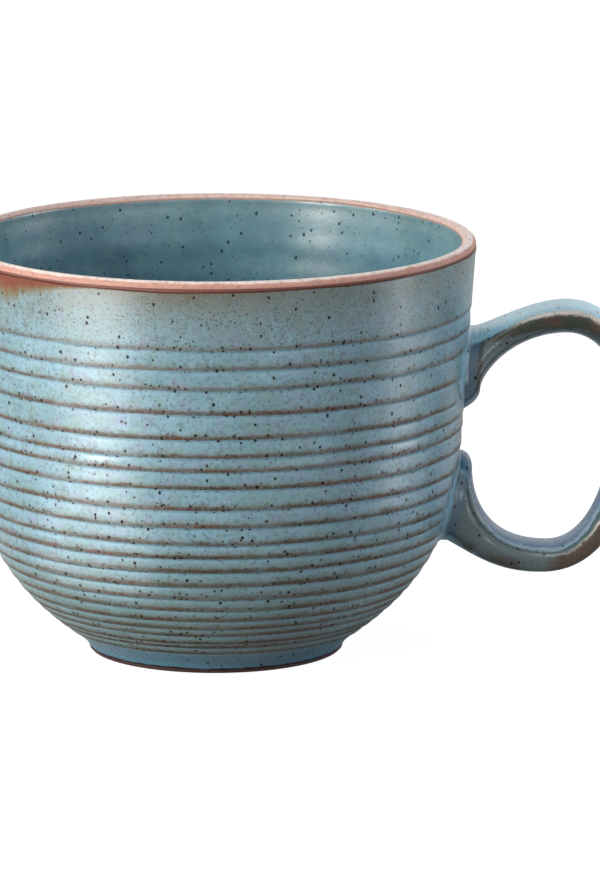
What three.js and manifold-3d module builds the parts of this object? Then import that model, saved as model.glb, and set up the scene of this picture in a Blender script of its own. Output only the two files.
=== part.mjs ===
// Cappuccino cup of ribbed, glazed stoneware with an ear-shaped strap handle.
// Millimetres, Z up. The cup stands on Z = 0 and its handle points along +X.

import * as THREE from 'three';
import { mergeVertices } from 'three/addons/utils/BufferGeometryUtils.js';
import Module from 'manifold-3d';

const wasm = await Module();
wasm.setup();

// Bowl: a gently tapered wall over a round belly, on a small foot
const HEIGHT = 74.1;
const RIM_RADIUS = 46;
const SHOULDER_RADIUS = 43.4;
const SHOULDER_HEIGHT = 34.4;
const FOOT_RADIUS = 22.8;
const FOOT_HEIGHT = 1.2;
const FOOT_TAPER = 0.3;
const FOOT_CHAMFER = 0.3;
const FOOT_RING_WIDTH = 3.5;
const FOOT_RECESS_DEPTH = 2.1;
const FOOT_RECESS_DRAFT = 0.6;
const LIP_THICKNESS = 2.5;
const WALL_THICKNESS = 4.1;
const FLOOR_THICKNESS = 4.4;

// How full the belly's curves are: shares of the height or radius that they turn through
const BELLY_FULLNESS = 0.7;
const FOOT_FLARE = 0.18;
const FOOT_FLARE_ANGLE = THREE.MathUtils.degToRad(58);
const BOWL_FULLNESS = 0.68;
const BOWL_FLOOR_SPREAD = 4;

// Ribs turned into the wall, measured along it from the lip, uneven as hand turning leaves them
const FIRST_RIB_EDGE = 10.7;
const RIB_WIDTHS = [
  3.6, 3.5, 4.4, 4.3, 3.2, 2.6, 3.3, 3.6, 3.1, 3.2, 2.8, 2.9, 3.0, 2.9, 2.8, 2.8, 2.4, 2.2, 2.8, 1.8, 2.4,
];
const RIB_STEP = 0.6;
const RIB_RELIEF = 0.22;
const FOOT_BAND = 4.5;

// Glaze: an even coat that thins on the ribs' edges and pools in the steps under them
const COAT = 0.35;
const COAT_ON_EDGE = 0.25;
const COAT_IN_STEP = 0.4;
const BARE_LIP_OUTSIDE = 0.2;
const BARE_LIP_INSIDE = 0.2;
const BARE_FOOT = 0.6;

// Handle: a strap that leaves the wall in two broad ends and bows out between them
const LOOP_REACH = 29.8;
const LOOP_REACH_BELOW_RIM = 27.9;
const LOOP_TOP_BELOW_RIM = 12.1;
const LOOP_TOP_OUT = 16.4;
const LOOP_BOTTOM_HEIGHT = 14.1;
const LOOP_BOTTOM_OUT = 11.7;
const LOOP_INNER_BOTTOM_SHIFT = 1.5;
const UPPER_END_BELOW_RIM = 16.5;
const UPPER_END_HEIGHT = 14.2;
const LOWER_END_ABOVE_BASE = 19.5;
const LOWER_END_HEIGHT = 15.6;
const STRAP_THICKNESS = 4.9;
const STRAP_LOWER_THICKNESS = 4.6;
const STRAP_WIDTH = 12.8;
const STRAP_END_WIDTH = 17.5;
const STRAP_END_NARROWING = 0.6;
const STRAP_END_EDGE = 1.4;
const STRAP_SQUARENESS = 3;
const STRAP_BURIED = 4;

// Rounded noses at the ends of the strap's inner edge, where it is pressed onto the wall
const UPPER_NOSE_OUT = 2.8;
const UPPER_NOSE_HEIGHT = 3;
const LOWER_NOSE_OUT = 2.3;
const LOWER_NOSE_HEIGHT = 2.5;

// Slip that lutes the handle's ends to the wall
const SLIP_THICKNESS = 1;
const SLIP_BEAD = 1.2;

// Gap kept between pieces that meet on a cut face
const CLEARANCE = 0.3;

// Fineness of the faceted surfaces
const ROUND_SEGMENTS = 36;
const LIP_STEPS = 6;
const BELLY_STEPS = 11;
const BOWL_STEPS = 10;
const FOOT_STEPS = 3;
const WALL_SAMPLES = 150;
const STRAP_RING_POINTS = 16;
const STRAP_STEPS = [3, 8, 5, 7, 8, 3];
const WELD = 1e-4;
// Length of a Bezier handle, as a share of the radius, that draws a quarter ellipse
const QUARTER_ELLIPSE = 0.5523;

const point = (x, y) => new THREE.Vector2(x, y);

// Outside of the bowl through the ribs' edges, from the lip's outer edge down to the base
function outsideCurve() {
  const rim = point(RIM_RADIUS, HEIGHT - LIP_THICKNESS / 2);
  const shoulder = point(SHOULDER_RADIUS, SHOULDER_HEIGHT);
  const foot = point(FOOT_RADIUS, FOOT_HEIGHT);
  const base = point(FOOT_RADIUS - FOOT_TAPER, 0);
  const down = shoulder.clone().sub(rim).normalize();
  const shoulderPull = (SHOULDER_HEIGHT - FOOT_HEIGHT) * BELLY_FULLNESS;
  const footPull = (SHOULDER_RADIUS - FOOT_RADIUS) * FOOT_FLARE;
  const flare = point(Math.cos(FOOT_FLARE_ANGLE), Math.sin(FOOT_FLARE_ANGLE));
  const curve = new THREE.CurvePath();
  curve.add(new THREE.LineCurve(rim, shoulder));
  curve.add(new THREE.CubicBezierCurve(
    shoulder,
    shoulder.clone().addScaledVector(down, shoulderPull),
    foot.clone().addScaledVector(flare, footPull),
    foot,
  ));
  curve.add(new THREE.LineCurve(foot, base));
  return curve;
}

// Inside of the bowl, from the lip's inner edge down to the middle of the floor
function insideCurve() {
  const floorHeight = FOOT_RECESS_DEPTH + FLOOR_THICKNESS;
  const lip = point(RIM_RADIUS - LIP_THICKNESS, HEIGHT - LIP_THICKNESS / 2);
  const shoulder = point(SHOULDER_RADIUS - WALL_THICKNESS, SHOULDER_HEIGHT);
  const down = shoulder.clone().sub(lip).normalize();
  const pull = (SHOULDER_HEIGHT - floorHeight) * BOWL_FULLNESS;
  const curve = new THREE.CurvePath();
  curve.add(new THREE.LineCurve(lip, shoulder));
  curve.add(new THREE.CubicBezierCurve(
    shoulder,
    shoulder.clone().addScaledVector(down, pull),
    point(FOOT_RADIUS + BOWL_FLOOR_SPREAD, floorHeight),
    point(0, floorHeight),
  ));
  return curve;
}

// Point on a wall curve at a distance along it, moved into the clay by a depth
function onWall(curve, distance, depth, intoClay) {
  const share = THREE.MathUtils.clamp(distance / curve.getLength(), 0, 1);
  const along = curve.getTangentAt(share);
  const normal = point(along.y, -along.x).multiplyScalar(intoClay);
  return curve.getPointAt(share).addScaledVector(normal, depth);
}

const outside = outsideCurve();
const inside = insideCurve();
const outsideDepth = (distance, depth) => onWall(outside, distance, depth, 1);
const insideDepth = (distance, depth) => onWall(inside, distance, depth, -1);
const [wallLength, footStart, outsideLength] = outside.getCurveLengths();
const coatEnd = outsideLength - BARE_FOOT;
const footRingInner = FOOT_RADIUS - FOOT_TAPER - FOOT_CHAMFER - FOOT_RING_WIDTH;

// Distances along the outside of the ribs' lower edges, down to the plain band above the foot
function ribEdges() {
  const edges = [];
  let edge = FIRST_RIB_EDGE;
  while (edge < footStart - FOOT_BAND) {
    edges.push(edge);
    edge += RIB_WIDTHS[(edges.length - 1) % RIB_WIDTHS.length];
  }
  return edges;
}

// Ribbed outline from the bare lip to the bare foot, at given depths on plain bands, edges and steps
function ribbedOutline(plainDepth, edgeDepth, stepDepth) {
  const outline = [outsideDepth(BARE_LIP_OUTSIDE, plainDepth)];
  for (const edge of ribEdges()) {
    outline.push(outsideDepth(edge, edgeDepth));
    outline.push(outsideDepth(edge + RIB_STEP, stepDepth));
  }
  for (let step = 1; step <= FOOT_STEPS; step += 1) {
    outline.push(outsideDepth(footStart - FOOT_BAND * (1 - step / FOOT_STEPS), plainDepth));
  }
  outline.push(outsideDepth(coatEnd, plainDepth));
  return outline;
}

// Smooth inside outline from the bare lip to the middle of the floor, at a depth
function bowlOutline(depth) {
  const straight = inside.getCurveLengths()[0];
  const turn = inside.getLength() - straight;
  const outline = [insideDepth(BARE_LIP_INSIDE, depth)];
  for (let step = 0; step <= BOWL_STEPS; step += 1) {
    outline.push(insideDepth(straight + (turn * step) / BOWL_STEPS, depth));
  }
  outline.at(-1).x = 0;
  return outline;
}

// Solid of revolution about Z from an outline that runs up the outside and down the inside
function turned(outline) {
  return new THREE.LatheGeometry(outline, ROUND_SEGMENTS).rotateX(Math.PI / 2);
}

// Ring of revolution from an outline that goes right round its section
function turnedRing(outline) {
  return turned([...outline, outline[0]]);
}

// Everything inside the wall's outer surface, swollen by an offset
function wallSolid(offset) {
  const outline = [outsideDepth(0, -offset)];
  for (let step = 0; step <= BELLY_STEPS; step += 1) {
    const share = step / BELLY_STEPS;
    outline.push(outsideDepth(THREE.MathUtils.lerp(wallLength, footStart, share), -offset));
  }
  return toSolid(turned([point(0, outline.at(-1).y), ...outline.reverse(), point(0, HEIGHT)]));
}

// Closed geometry to a solid for cutting, and back
function toSolid(geometry) {
  const bare = geometry.clone();
  bare.deleteAttribute('normal');
  bare.deleteAttribute('uv');
  const welded = mergeVertices(bare, WELD);
  const corners = welded.index.array;
  const triangles = [];
  for (let i = 0; i < corners.length; i += 3) {
    const [a, b, c] = corners.subarray(i, i + 3);
    if (a !== b && b !== c && c !== a) {
      triangles.push(a, b, c);
    }
  }
  return new wasm.Manifold(new wasm.Mesh({
    numProp: 3,
    vertProperties: new Float32Array(welded.attributes.position.array),
    triVerts: new Uint32Array(triangles),
  }));
}

function toGeometry(solid) {
  const mesh = solid.getMesh();
  const geometry = new THREE.BufferGeometry();
  geometry.setAttribute('position', new THREE.BufferAttribute(mesh.vertProperties, 3));
  geometry.setIndex(new THREE.BufferAttribute(mesh.triVerts, 1));
  geometry.computeVertexNormals();
  return geometry;
}

// Radius of the wall's outer surface at a height
function wallRadius(height) {
  const samples = outside.getSpacedPoints(WALL_SAMPLES);
  const below = samples.findIndex((sample) => sample.y <= height);
  const low = samples[below];
  const high = samples[below - 1];
  return THREE.MathUtils.mapLinear(height, low.y, high.y, low.x, high.x);
}

// The strap's outer and inner edges seen from the side, as curves from the upper end to the lower end
function strapRails() {
  const nearWall = (height, out) => point(wallRadius(height) + out, height);
  const loopTop = point(RIM_RADIUS + LOOP_TOP_OUT, HEIGHT - LOOP_TOP_BELOW_RIM);
  const loopOut = point(RIM_RADIUS + LOOP_REACH, HEIGHT - LOOP_REACH_BELOW_RIM);
  const loopBottom = point(RIM_RADIUS + LOOP_BOTTOM_OUT, LOOP_BOTTOM_HEIGHT);
  const upperEnd = HEIGHT - UPPER_END_BELOW_RIM;
  const upperWall = nearWall(upperEnd - UPPER_END_HEIGHT, 0);
  const lowerWall = nearWall(LOWER_END_ABOVE_BASE + LOWER_END_HEIGHT, 0);
  const outer = {
    start: nearWall(upperEnd, STRAP_END_EDGE),
    top: loopTop,
    out: loopOut,
    bottom: loopBottom,
    end: nearWall(LOWER_END_ABOVE_BASE, STRAP_END_EDGE),
    startPull: point(0.24, 0.23),
    topPull: 0.4,
    sidePull: point(0.68, 0.6),
    bottomPull: 0.49,
    endPull: point(0.32, 0.52),
  };
  const inner = {
    start: upperWall.clone().add(point(UPPER_NOSE_OUT, UPPER_NOSE_HEIGHT)),
    top: point(loopTop.x, loopTop.y - STRAP_THICKNESS),
    out: point(loopOut.x - STRAP_THICKNESS, loopOut.y),
    bottom: loopBottom.clone().add(point(LOOP_INNER_BOTTOM_SHIFT, STRAP_LOWER_THICKNESS)),
    end: nearWall(lowerWall.y - LOWER_NOSE_HEIGHT, LOWER_NOSE_OUT),
    startPull: point(-0.03, 0.29),
    topPull: 0.59,
    sidePull: point(0.6, 0.58),
    bottomPull: 0.79,
    endPull: point(0.01, 0.45),
  };
  const outerCurves = [
    new THREE.LineCurve(nearWall(upperEnd, 0), outer.start),
    ...railCurves(outer),
    new THREE.LineCurve(outer.end, nearWall(LOWER_END_ABOVE_BASE, 0)),
  ];
  const innerCurves = [
    noseCurve(upperWall, inner.start, point(0.46, 0.23), point(0.11, 0.47)),
    ...railCurves(inner),
    noseCurve(inner.end, lowerWall, point(0, 0.5), point(0.6, 0)),
  ];
  return [outerCurves, innerCurves];
}

// Bezier curve round a nose; pulls are shares of its size
function noseCurve(start, end, startPull, endPull) {
  const size = end.clone().sub(start);
  return new THREE.CubicBezierCurve(
    start,
    start.clone().add(size.clone().multiply(startPull)),
    end.clone().sub(size.clone().multiply(endPull)),
    end,
  );
}

// Four Bezier curves through a rail's points; pulls are shares of the stretch that they bend
function railCurves(rail) {
  const { start, top, out, bottom, end } = rail;
  const rise = top.clone().sub(start);
  const overTop = out.clone().sub(top);
  const under = out.clone().sub(bottom);
  const back = bottom.clone().sub(end);
  return [
    new THREE.CubicBezierCurve(
      start,
      start.clone().add(rise.clone().multiply(rail.startPull)),
      point(top.x - rise.x * rail.topPull, top.y),
      top,
    ),
    new THREE.CubicBezierCurve(
      top,
      point(top.x + overTop.x * QUARTER_ELLIPSE, top.y),
      point(out.x, out.y - overTop.y * QUARTER_ELLIPSE),
      out,
    ),
    new THREE.CubicBezierCurve(
      out,
      point(out.x, out.y - under.y * rail.sidePull.y),
      point(bottom.x + under.x * rail.sidePull.x, bottom.y),
      bottom,
    ),
    new THREE.CubicBezierCurve(
      bottom,
      point(bottom.x - back.x * rail.bottomPull, bottom.y),
      end.clone().add(back.clone().multiply(rail.endPull)),
      end,
    ),
  ];
}

// Cross-sections of the strap from end to end, each with its rail points and its width
function strapStations() {
  const [outerRail, innerRail] = strapRails();
  const stations = [];
  outerRail.forEach((curve, stretch) => {
    const steps = STRAP_STEPS[stretch];
    for (let step = stretch === 0 ? 0 : 1; step <= steps; step += 1) {
      const share = step / steps;
      const fromEnd = [0, share, 1, 1, 1 - share, 0][stretch];
      stations.push({
        outer: curve.getPoint(share),
        inner: innerRail[stretch].getPoint(share),
        width: THREE.MathUtils.lerp(
          STRAP_END_WIDTH,
          STRAP_WIDTH,
          THREE.MathUtils.smoothstep(fromEnd, 0, STRAP_END_NARROWING),
        ),
      });
    }
  });
  const buried = (station) => ({
    outer: station.outer.clone().sub(point(STRAP_BURIED, 0)),
    inner: station.inner.clone().sub(point(STRAP_BURIED, 0)),
    width: station.width,
  });
  return [buried(stations[0]), ...stations, buried(stations.at(-1))];
}

// Ring of points round one cross-section, a rounded rectangle swollen by an offset
function strapRing({ outer, inner, width }, offset) {
  const middle = outer.clone().add(inner).multiplyScalar(0.5);
  const half = outer.clone().sub(inner).multiplyScalar(0.5);
  half.setLength(half.length() + offset);
  const rounded = (value) => Math.sign(value) * Math.abs(value) ** (2 / STRAP_SQUARENESS);
  const ring = [];
  for (let i = 0; i < STRAP_RING_POINTS; i += 1) {
    const angle = (2 * Math.PI * i) / STRAP_RING_POINTS;
    const across = rounded(Math.cos(angle)) * (width / 2 + offset);
    const through = rounded(Math.sin(angle));
    ring.push(middle.x + half.x * through, across, middle.y + half.y * through);
  }
  return ring;
}

// The strap from end to end, both ends buried in the wall, as a closed solid swollen by an offset
function strapSolid(offset) {
  const stations = strapStations();
  const positions = stations.flatMap((station) => strapRing(station, offset));
  const count = STRAP_RING_POINTS;
  const triangles = [];
  for (let ring = 0; ring + 1 < stations.length; ring += 1) {
    for (let i = 0; i < count; i += 1) {
      const a = ring * count + i;
      const b = ring * count + ((i + 1) % count);
      triangles.push(a, b, a + count, b, b + count, a + count);
    }
  }
  const last = (stations.length - 1) * count;
  for (let i = 1; i + 1 < count; i += 1) {
    triangles.push(0, i + 1, i);
    triangles.push(last, last + i, last + i + 1);
  }
  const geometry = new THREE.BufferGeometry();
  geometry.setAttribute('position', new THREE.Float32BufferAttribute(positions, 3));
  geometry.setIndex(triangles);
  return toSolid(geometry);
}

// Finishes
const clay = new THREE.MeshStandardMaterial({ color: 0xc79c8a, roughness: 0.85, metalness: 0 });
const slip = new THREE.MeshStandardMaterial({ color: 0x7fa3ae, roughness: 0.4, metalness: 0 });
const paleGlaze = new THREE.MeshStandardMaterial({ color: 0x7d9ca6, roughness: 0.35, metalness: 0 });
const linerGlaze = new THREE.MeshStandardMaterial({ color: 0x5f858f, roughness: 0.3, metalness: 0 });

// Bowl of clay with its lip, ribs, floor and foot ring
function cupBodyGeometry() {
  const underside = [
    point(0, FOOT_RECESS_DEPTH),
    point(footRingInner - FOOT_RECESS_DRAFT, FOOT_RECESS_DEPTH),
    point(footRingInner, 0),
    point(footRingInner + FOOT_RING_WIDTH, 0),
    point(FOOT_RADIUS - FOOT_TAPER, FOOT_CHAMFER),
    outsideDepth(coatEnd, 0),
  ];
  const wall = ribbedOutline(COAT, COAT_ON_EDGE, RIB_RELIEF + COAT_IN_STEP).reverse();
  const lip = [outsideDepth(BARE_LIP_OUTSIDE, 0)];
  const lipMiddle = point(RIM_RADIUS - LIP_THICKNESS / 2, HEIGHT - LIP_THICKNESS / 2);
  for (let step = 0; step <= LIP_STEPS; step += 1) {
    const angle = (Math.PI * step) / LIP_STEPS;
    const spoke = point(Math.cos(angle), Math.sin(angle));
    lip.push(lipMiddle.clone().addScaledVector(spoke, LIP_THICKNESS / 2));
  }
  lip.push(insideDepth(BARE_LIP_INSIDE, 0));
  return turned([...underside, ...wall, ...lip, ...bowlOutline(COAT)]);
}

// Coat on the ribs, with a window round each luted end of the handle
function outerGlazeGeometry() {
  const face = ribbedOutline(0, 0, RIB_RELIEF).reverse();
  const back = ribbedOutline(COAT, COAT_ON_EDGE, RIB_RELIEF + COAT_IN_STEP);
  const coat = toSolid(turnedRing([...face, ...back]));
  return toGeometry(coat.subtract(strapSolid(SLIP_BEAD + CLEARANCE)));
}

// Liner coat in the bowl
function innerGlazeGeometry() {
  return turned([...bowlOutline(COAT).reverse(), ...bowlOutline(0)]);
}

// Coat in the recess under the foot
function footGlazeGeometry() {
  const radius = footRingInner - FOOT_RECESS_DRAFT - CLEARANCE;
  const low = FOOT_RECESS_DEPTH - COAT;
  return turned([
    point(0, low), point(radius, low), point(radius, FOOT_RECESS_DEPTH), point(0, FOOT_RECESS_DEPTH),
  ]);
}

// Offsets from the wall's surface at which the slip starts and ends and the strap begins
const slipStart = CLEARANCE - COAT_ON_EDGE;
const slipEnd = slipStart + SLIP_THICKNESS;
const strapStart = slipEnd + CLEARANCE;

// The strap's clay core and its coat, cut to the wall's curve
function handleGeometries() {
  const wall = wallSolid(strapStart);
  const core = strapSolid(-COAT);
  const coat = strapSolid(0).subtract(core);
  return [core.subtract(wall), coat.subtract(wall)].map(toGeometry);
}

// Slip between the wall and the strap's ends, squeezed out in a bead: upper joint, then lower joint
function slipJointGeometries() {
  const layer = wallSolid(slipEnd).subtract(wallSolid(slipStart));
  const joints = strapSolid(SLIP_BEAD).intersect(layer).decompose();
  joints.sort((a, b) => b.boundingBox().max[2] - a.boundingBox().max[2]);
  return joints.map(toGeometry);
}

// A named piece of the cup
function piece(name, geometry, material) {
  const mesh = new THREE.Mesh(geometry, material);
  mesh.name = name;
  return mesh;
}

const [handleCore, handleCoat] = handleGeometries();
const [upperSlip, lowerSlip] = slipJointGeometries();

// The whole cup, set so that the middle of its footprint box is the origin
const cup = new THREE.Group();
cup.position.x = -LOOP_REACH / 2;
cup.add(
  piece('cup_body', cupBodyGeometry(), clay),
  piece('outer_glaze', outerGlazeGeometry(), paleGlaze),
  piece('inner_glaze', innerGlazeGeometry(), linerGlaze),
  piece('foot_glaze', footGlazeGeometry(), linerGlaze),
  piece('handle', handleCore, clay),
  piece('handle_glaze', handleCoat, paleGlaze),
  piece('upper_slip_joint', upperSlip, slip),
  piece('lower_slip_joint', lowerSlip, slip),
);

export default cup;
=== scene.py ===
# %% [markdown]
# A ribbed stoneware cappuccino cup, dressed in Blender
#
# The real cup is thrown from a sandy, iron-bearing clay. Its maker turns ribs into the wall with the edge of
# a tool, lutes a strap handle on with slip, and dips everything but the lip and the base in a pale blue
# glaze. The frame already holds each of those pieces as a plain solid at its real size. This lesson makes a
# finer surface for each of them, in the same place, and then gives every surface the finish that the kiln
# gave it.

# %% Load the frame
import math

import bmesh
import bpy
import numpy as np
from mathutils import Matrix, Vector


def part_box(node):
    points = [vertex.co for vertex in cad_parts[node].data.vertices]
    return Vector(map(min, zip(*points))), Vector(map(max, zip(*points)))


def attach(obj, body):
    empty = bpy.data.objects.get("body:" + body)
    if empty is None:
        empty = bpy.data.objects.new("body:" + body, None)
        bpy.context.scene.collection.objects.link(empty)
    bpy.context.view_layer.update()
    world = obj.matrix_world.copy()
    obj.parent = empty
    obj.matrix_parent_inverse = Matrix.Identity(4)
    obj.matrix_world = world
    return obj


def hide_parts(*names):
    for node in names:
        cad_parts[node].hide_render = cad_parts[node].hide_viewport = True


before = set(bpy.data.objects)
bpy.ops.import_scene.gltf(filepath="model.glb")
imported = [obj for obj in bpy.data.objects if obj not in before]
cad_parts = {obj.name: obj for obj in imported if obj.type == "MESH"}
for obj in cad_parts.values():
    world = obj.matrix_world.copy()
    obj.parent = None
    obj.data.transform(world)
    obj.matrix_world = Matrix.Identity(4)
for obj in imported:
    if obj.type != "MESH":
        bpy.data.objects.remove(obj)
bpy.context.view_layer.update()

print("solids in the frame:", sorted(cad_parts))

# %% [markdown]
# Sizes. Blender works in metres, and a potter in millimetres, so all sizes here are in millimetres and one
# factor turns them into metres. What the frame can tell is measured on it: the cup's axis, its rim, its
# height and how far the handle reaches. That way the dressed cup can't drift away from the solids.

# %% Sizes measured on the frame
MM = 0.001


def box_in_mm(node):
    low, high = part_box(node)
    return np.array(low) / MM, np.array(high) / MM


body_low, body_high = box_in_mm("cup_body")
strap_low, strap_high = box_in_mm("handle_glaze")
AXIS_X = (body_low[0] + body_high[0]) / 2
RIM_RADIUS = (body_high[1] - body_low[1]) / 2
HEIGHT = body_high[2]
LOOP_OUT = strap_high[0] - AXIS_X
LOOP_TOP = strap_high[2]
LOOP_BOTTOM = strap_low[2]
print(f"axis at x = {AXIS_X:.1f}, rim radius {RIM_RADIUS:.1f}, height {HEIGHT:.1f} mm")
print(f"handle reaches {LOOP_OUT:.1f} mm from the axis, between {LOOP_BOTTOM:.1f} and {LOOP_TOP:.1f} mm up")

# %% [markdown]
# The wall. A thrown bowl is a shape of revolution, so one outline of radius and height describes it. It could
# be drawn as a Blender curve and spun with a Screw modifier. Here the outline is kept as numbers instead,
# because the ribs, the coats of glaze and the handle's joints all have to ask it for places at a distance
# along the wall. The wall is a straight taper over a round belly, which is one Bezier curve down to the foot.

# %% Curves through a few points
CURVE_STEPS = 400


def bezier(start, start_pull, end_pull, end, steps=CURVE_STEPS):
    share = np.linspace(0, 1, steps + 1)[:, None]
    rest = 1 - share
    return (rest**3 * start + 3 * rest**2 * share * start_pull
            + 3 * rest * share**2 * end_pull + share**3 * end)


def straight(start, end, steps=CURVE_STEPS):
    return bezier(start, start + (end - start) / 3, end - (end - start) / 3, end, steps)


print(f"{CURVE_STEPS} steps to every curve")

# %% An outline that gives any place along it


class Outline:
    """A line of (radius, height) points that gives any place along it, sunk into the clay by a depth."""

    def __init__(self, stretches, clay_side):
        self.points = np.concatenate([stretches[0]] + [stretch[1:] for stretch in stretches[1:]])
        steps = np.linalg.norm(np.diff(self.points, axis=0), axis=1)
        self.along = np.concatenate([[0.0], np.cumsum(steps)])
        self.ends = [self.along[CURVE_STEPS * (n + 1)] for n in range(len(stretches))]
        tangent = np.gradient(self.points, self.along, axis=0)
        tangent /= np.linalg.norm(tangent, axis=1)[:, None]
        self.into_clay = clay_side * np.column_stack([tangent[:, 1], -tangent[:, 0]])

    def place(self, distance, depth=0.0):
        on_line = [np.interp(distance, self.along, self.points[:, n]) for n in (0, 1)]
        inward = [np.interp(distance, self.along, self.into_clay[:, n]) for n in (0, 1)]
        return np.stack([on_line[n] + inward[n] * depth for n in (0, 1)], axis=-1)


# %% The outside and the inside of the wall
SHOULDER_RADIUS = 43.4
SHOULDER_HEIGHT = 34.4
FOOT_RADIUS = 22.8
FOOT_HEIGHT = 1.2
FOOT_TAPER = 0.3
FOOT_RECESS_DEPTH = 2.1
FLOOR_THICKNESS = 4.4
LIP_THICKNESS = 2.5
WALL_THICKNESS = 4.1
BELLY_FULLNESS = 0.7
FOOT_FLARE = 0.18
FOOT_FLARE_ANGLE = math.radians(58)
BOWL_FULLNESS = 0.68
BOWL_FLOOR_SPREAD = 4
QUARTER_ELLIPSE = 0.5523


def outside_of_wall():
    rim = np.array([RIM_RADIUS, HEIGHT - LIP_THICKNESS / 2])
    shoulder = np.array([SHOULDER_RADIUS, SHOULDER_HEIGHT])
    foot = np.array([FOOT_RADIUS, FOOT_HEIGHT])
    base = np.array([FOOT_RADIUS - FOOT_TAPER, 0.0])
    down = (shoulder - rim) / np.linalg.norm(shoulder - rim)
    flare = np.array([math.cos(FOOT_FLARE_ANGLE), math.sin(FOOT_FLARE_ANGLE)])
    shoulder_pull = shoulder + down * (SHOULDER_HEIGHT - FOOT_HEIGHT) * BELLY_FULLNESS
    foot_pull = foot + flare * (SHOULDER_RADIUS - FOOT_RADIUS) * FOOT_FLARE
    belly = bezier(shoulder, shoulder_pull, foot_pull, foot)
    return Outline([straight(rim, shoulder), belly, straight(foot, base)], clay_side=1)


def inside_of_wall():
    floor_height = FOOT_RECESS_DEPTH + FLOOR_THICKNESS
    half = LIP_THICKNESS / 2
    lip_top = np.array([RIM_RADIUS - half, HEIGHT])
    lip = np.array([RIM_RADIUS - LIP_THICKNESS, HEIGHT - half])
    lip_round = bezier(lip_top, lip_top - [half * QUARTER_ELLIPSE, 0], lip + [0, half * QUARTER_ELLIPSE], lip)
    shoulder = np.array([SHOULDER_RADIUS - WALL_THICKNESS, SHOULDER_HEIGHT])
    down = (shoulder - lip) / np.linalg.norm(shoulder - lip)
    shoulder_pull = shoulder + down * (SHOULDER_HEIGHT - floor_height) * BOWL_FULLNESS
    floor_pull = np.array([FOOT_RADIUS + BOWL_FLOOR_SPREAD, floor_height])
    bowl = bezier(shoulder, shoulder_pull, floor_pull, np.array([0.0, floor_height]))
    return Outline([lip_round, straight(lip, shoulder), bowl], clay_side=-1)


outside = outside_of_wall()
inside = inside_of_wall()
foot_start = outside.ends[1]
print(f"the wall is {outside.ends[-1]:.1f} mm long outside and {inside.ends[-1]:.1f} mm inside")

# %% [markdown]
# The ribs. Each rib is like a board of lap siding: it leans out to a proud lower edge, and a short step leads
# back to the next one. The ribs are uneven because a hand cut them. A bump map would draw them, but it can't
# notch the cup's outline, so they are real geometry: rows of points crowd round every edge.

# %% Where the ribs' edges are, and how deep the wall lies between them
FIRST_RIB_EDGE = 10.7
RIB_WIDTHS = (3.6, 3.5, 4.4, 4.3, 3.2, 2.6, 3.3, 3.6, 3.1, 3.2, 2.8, 2.9, 3.0, 2.9, 2.8, 2.8, 2.4, 2.2, 2.8,
              1.8, 2.4)
RIB_STEP = 0.6
RIB_RELIEF = 0.22
RIB_CROWN = 1.4
FOOT_BAND = 4.5

edges = np.cumsum((FIRST_RIB_EDGE,) + RIB_WIDTHS)
edges = edges[edges < foot_start - FOOT_BAND]
rib_ends = np.append(edges[1:], foot_start)


def smooth(share):
    share = np.clip(share, 0, 1)
    return share * share * (3 - 2 * share)


def rib_at(distance):
    """Number of the edge above each place, or -1 on the plain band under the lip."""
    return np.searchsorted(edges, distance, side="right") - 1


def rib_depth(distance):
    rib = rib_at(distance)
    below_edge = distance - edges[np.maximum(rib, 0)]
    width = rib_ends[np.maximum(rib, 0)] - edges[np.maximum(rib, 0)]
    step = smooth(below_edge / RIB_STEP)
    rise = np.clip((below_edge - RIB_STEP) / (width - RIB_STEP), 0, 1)
    return np.where(rib < 0, 0.0, RIB_RELIEF * step * (1 - rise) ** RIB_CROWN)


print(f"{len(edges)} rib edges, the last {foot_start - edges[-1]:.1f} mm above the foot")

# %% [markdown]
# Turning. One helper spins an outline into rings of points and joins the rings with quads. The wheel and the
# hand are never perfect, so the rings are very slightly out of round, and the ribs wander a little as they go
# round. Sines do that: they close on themselves, and they give the same cup on every run.

# %% Rings of points round the cup's axis
SEGMENTS = 240
OUT_OF_ROUND = 0.12
RIB_WANDER = 0.1
turns = np.linspace(0, 2 * math.pi, SEGMENTS, endpoint=False)
print(f"{SEGMENTS} points in every ring")


def on_cup(radius_height):
    """Places in metres for (radius, height) rows that may differ from turn to turn."""
    rows = np.asarray(radius_height, float)
    if rows.ndim == 2:
        rows = np.repeat(rows[:, None, :], SEGMENTS, axis=1)
    radius, height = rows[..., 0], rows[..., 1]
    sway = np.sin(2 * turns + 0.6) + 0.5 * np.sin(3 * turns + 2.0)
    radius = radius * (1 + OUT_OF_ROUND / RIM_RADIUS * sway * height / HEIGHT)
    places = [AXIS_X + radius * np.cos(turns), radius * np.sin(turns), height]
    return np.stack(places, axis=-1) * MM


def rib_wander(distance):
    """How far the ribs stray along the wall at each turn."""
    distance = np.asarray(distance)[:, None]
    slow = np.sin(turns + 0.35 * distance)
    quick = 0.7 * np.sin(2 * turns - 0.5 * distance + 1.3) + 0.4 * np.sin(5 * turns + 0.9 * distance)
    return RIB_WANDER * (slow + quick)


# %% From rows of places to a mesh
SHARP_ANGLE = math.radians(40)
WELD = 1e-7


def in_scene(name, data):
    """An object that holds this mesh, lamp or camera, linked into the scene."""
    made = bpy.data.objects.new(name, data)
    bpy.context.scene.collection.objects.link(made)
    return made


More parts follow.
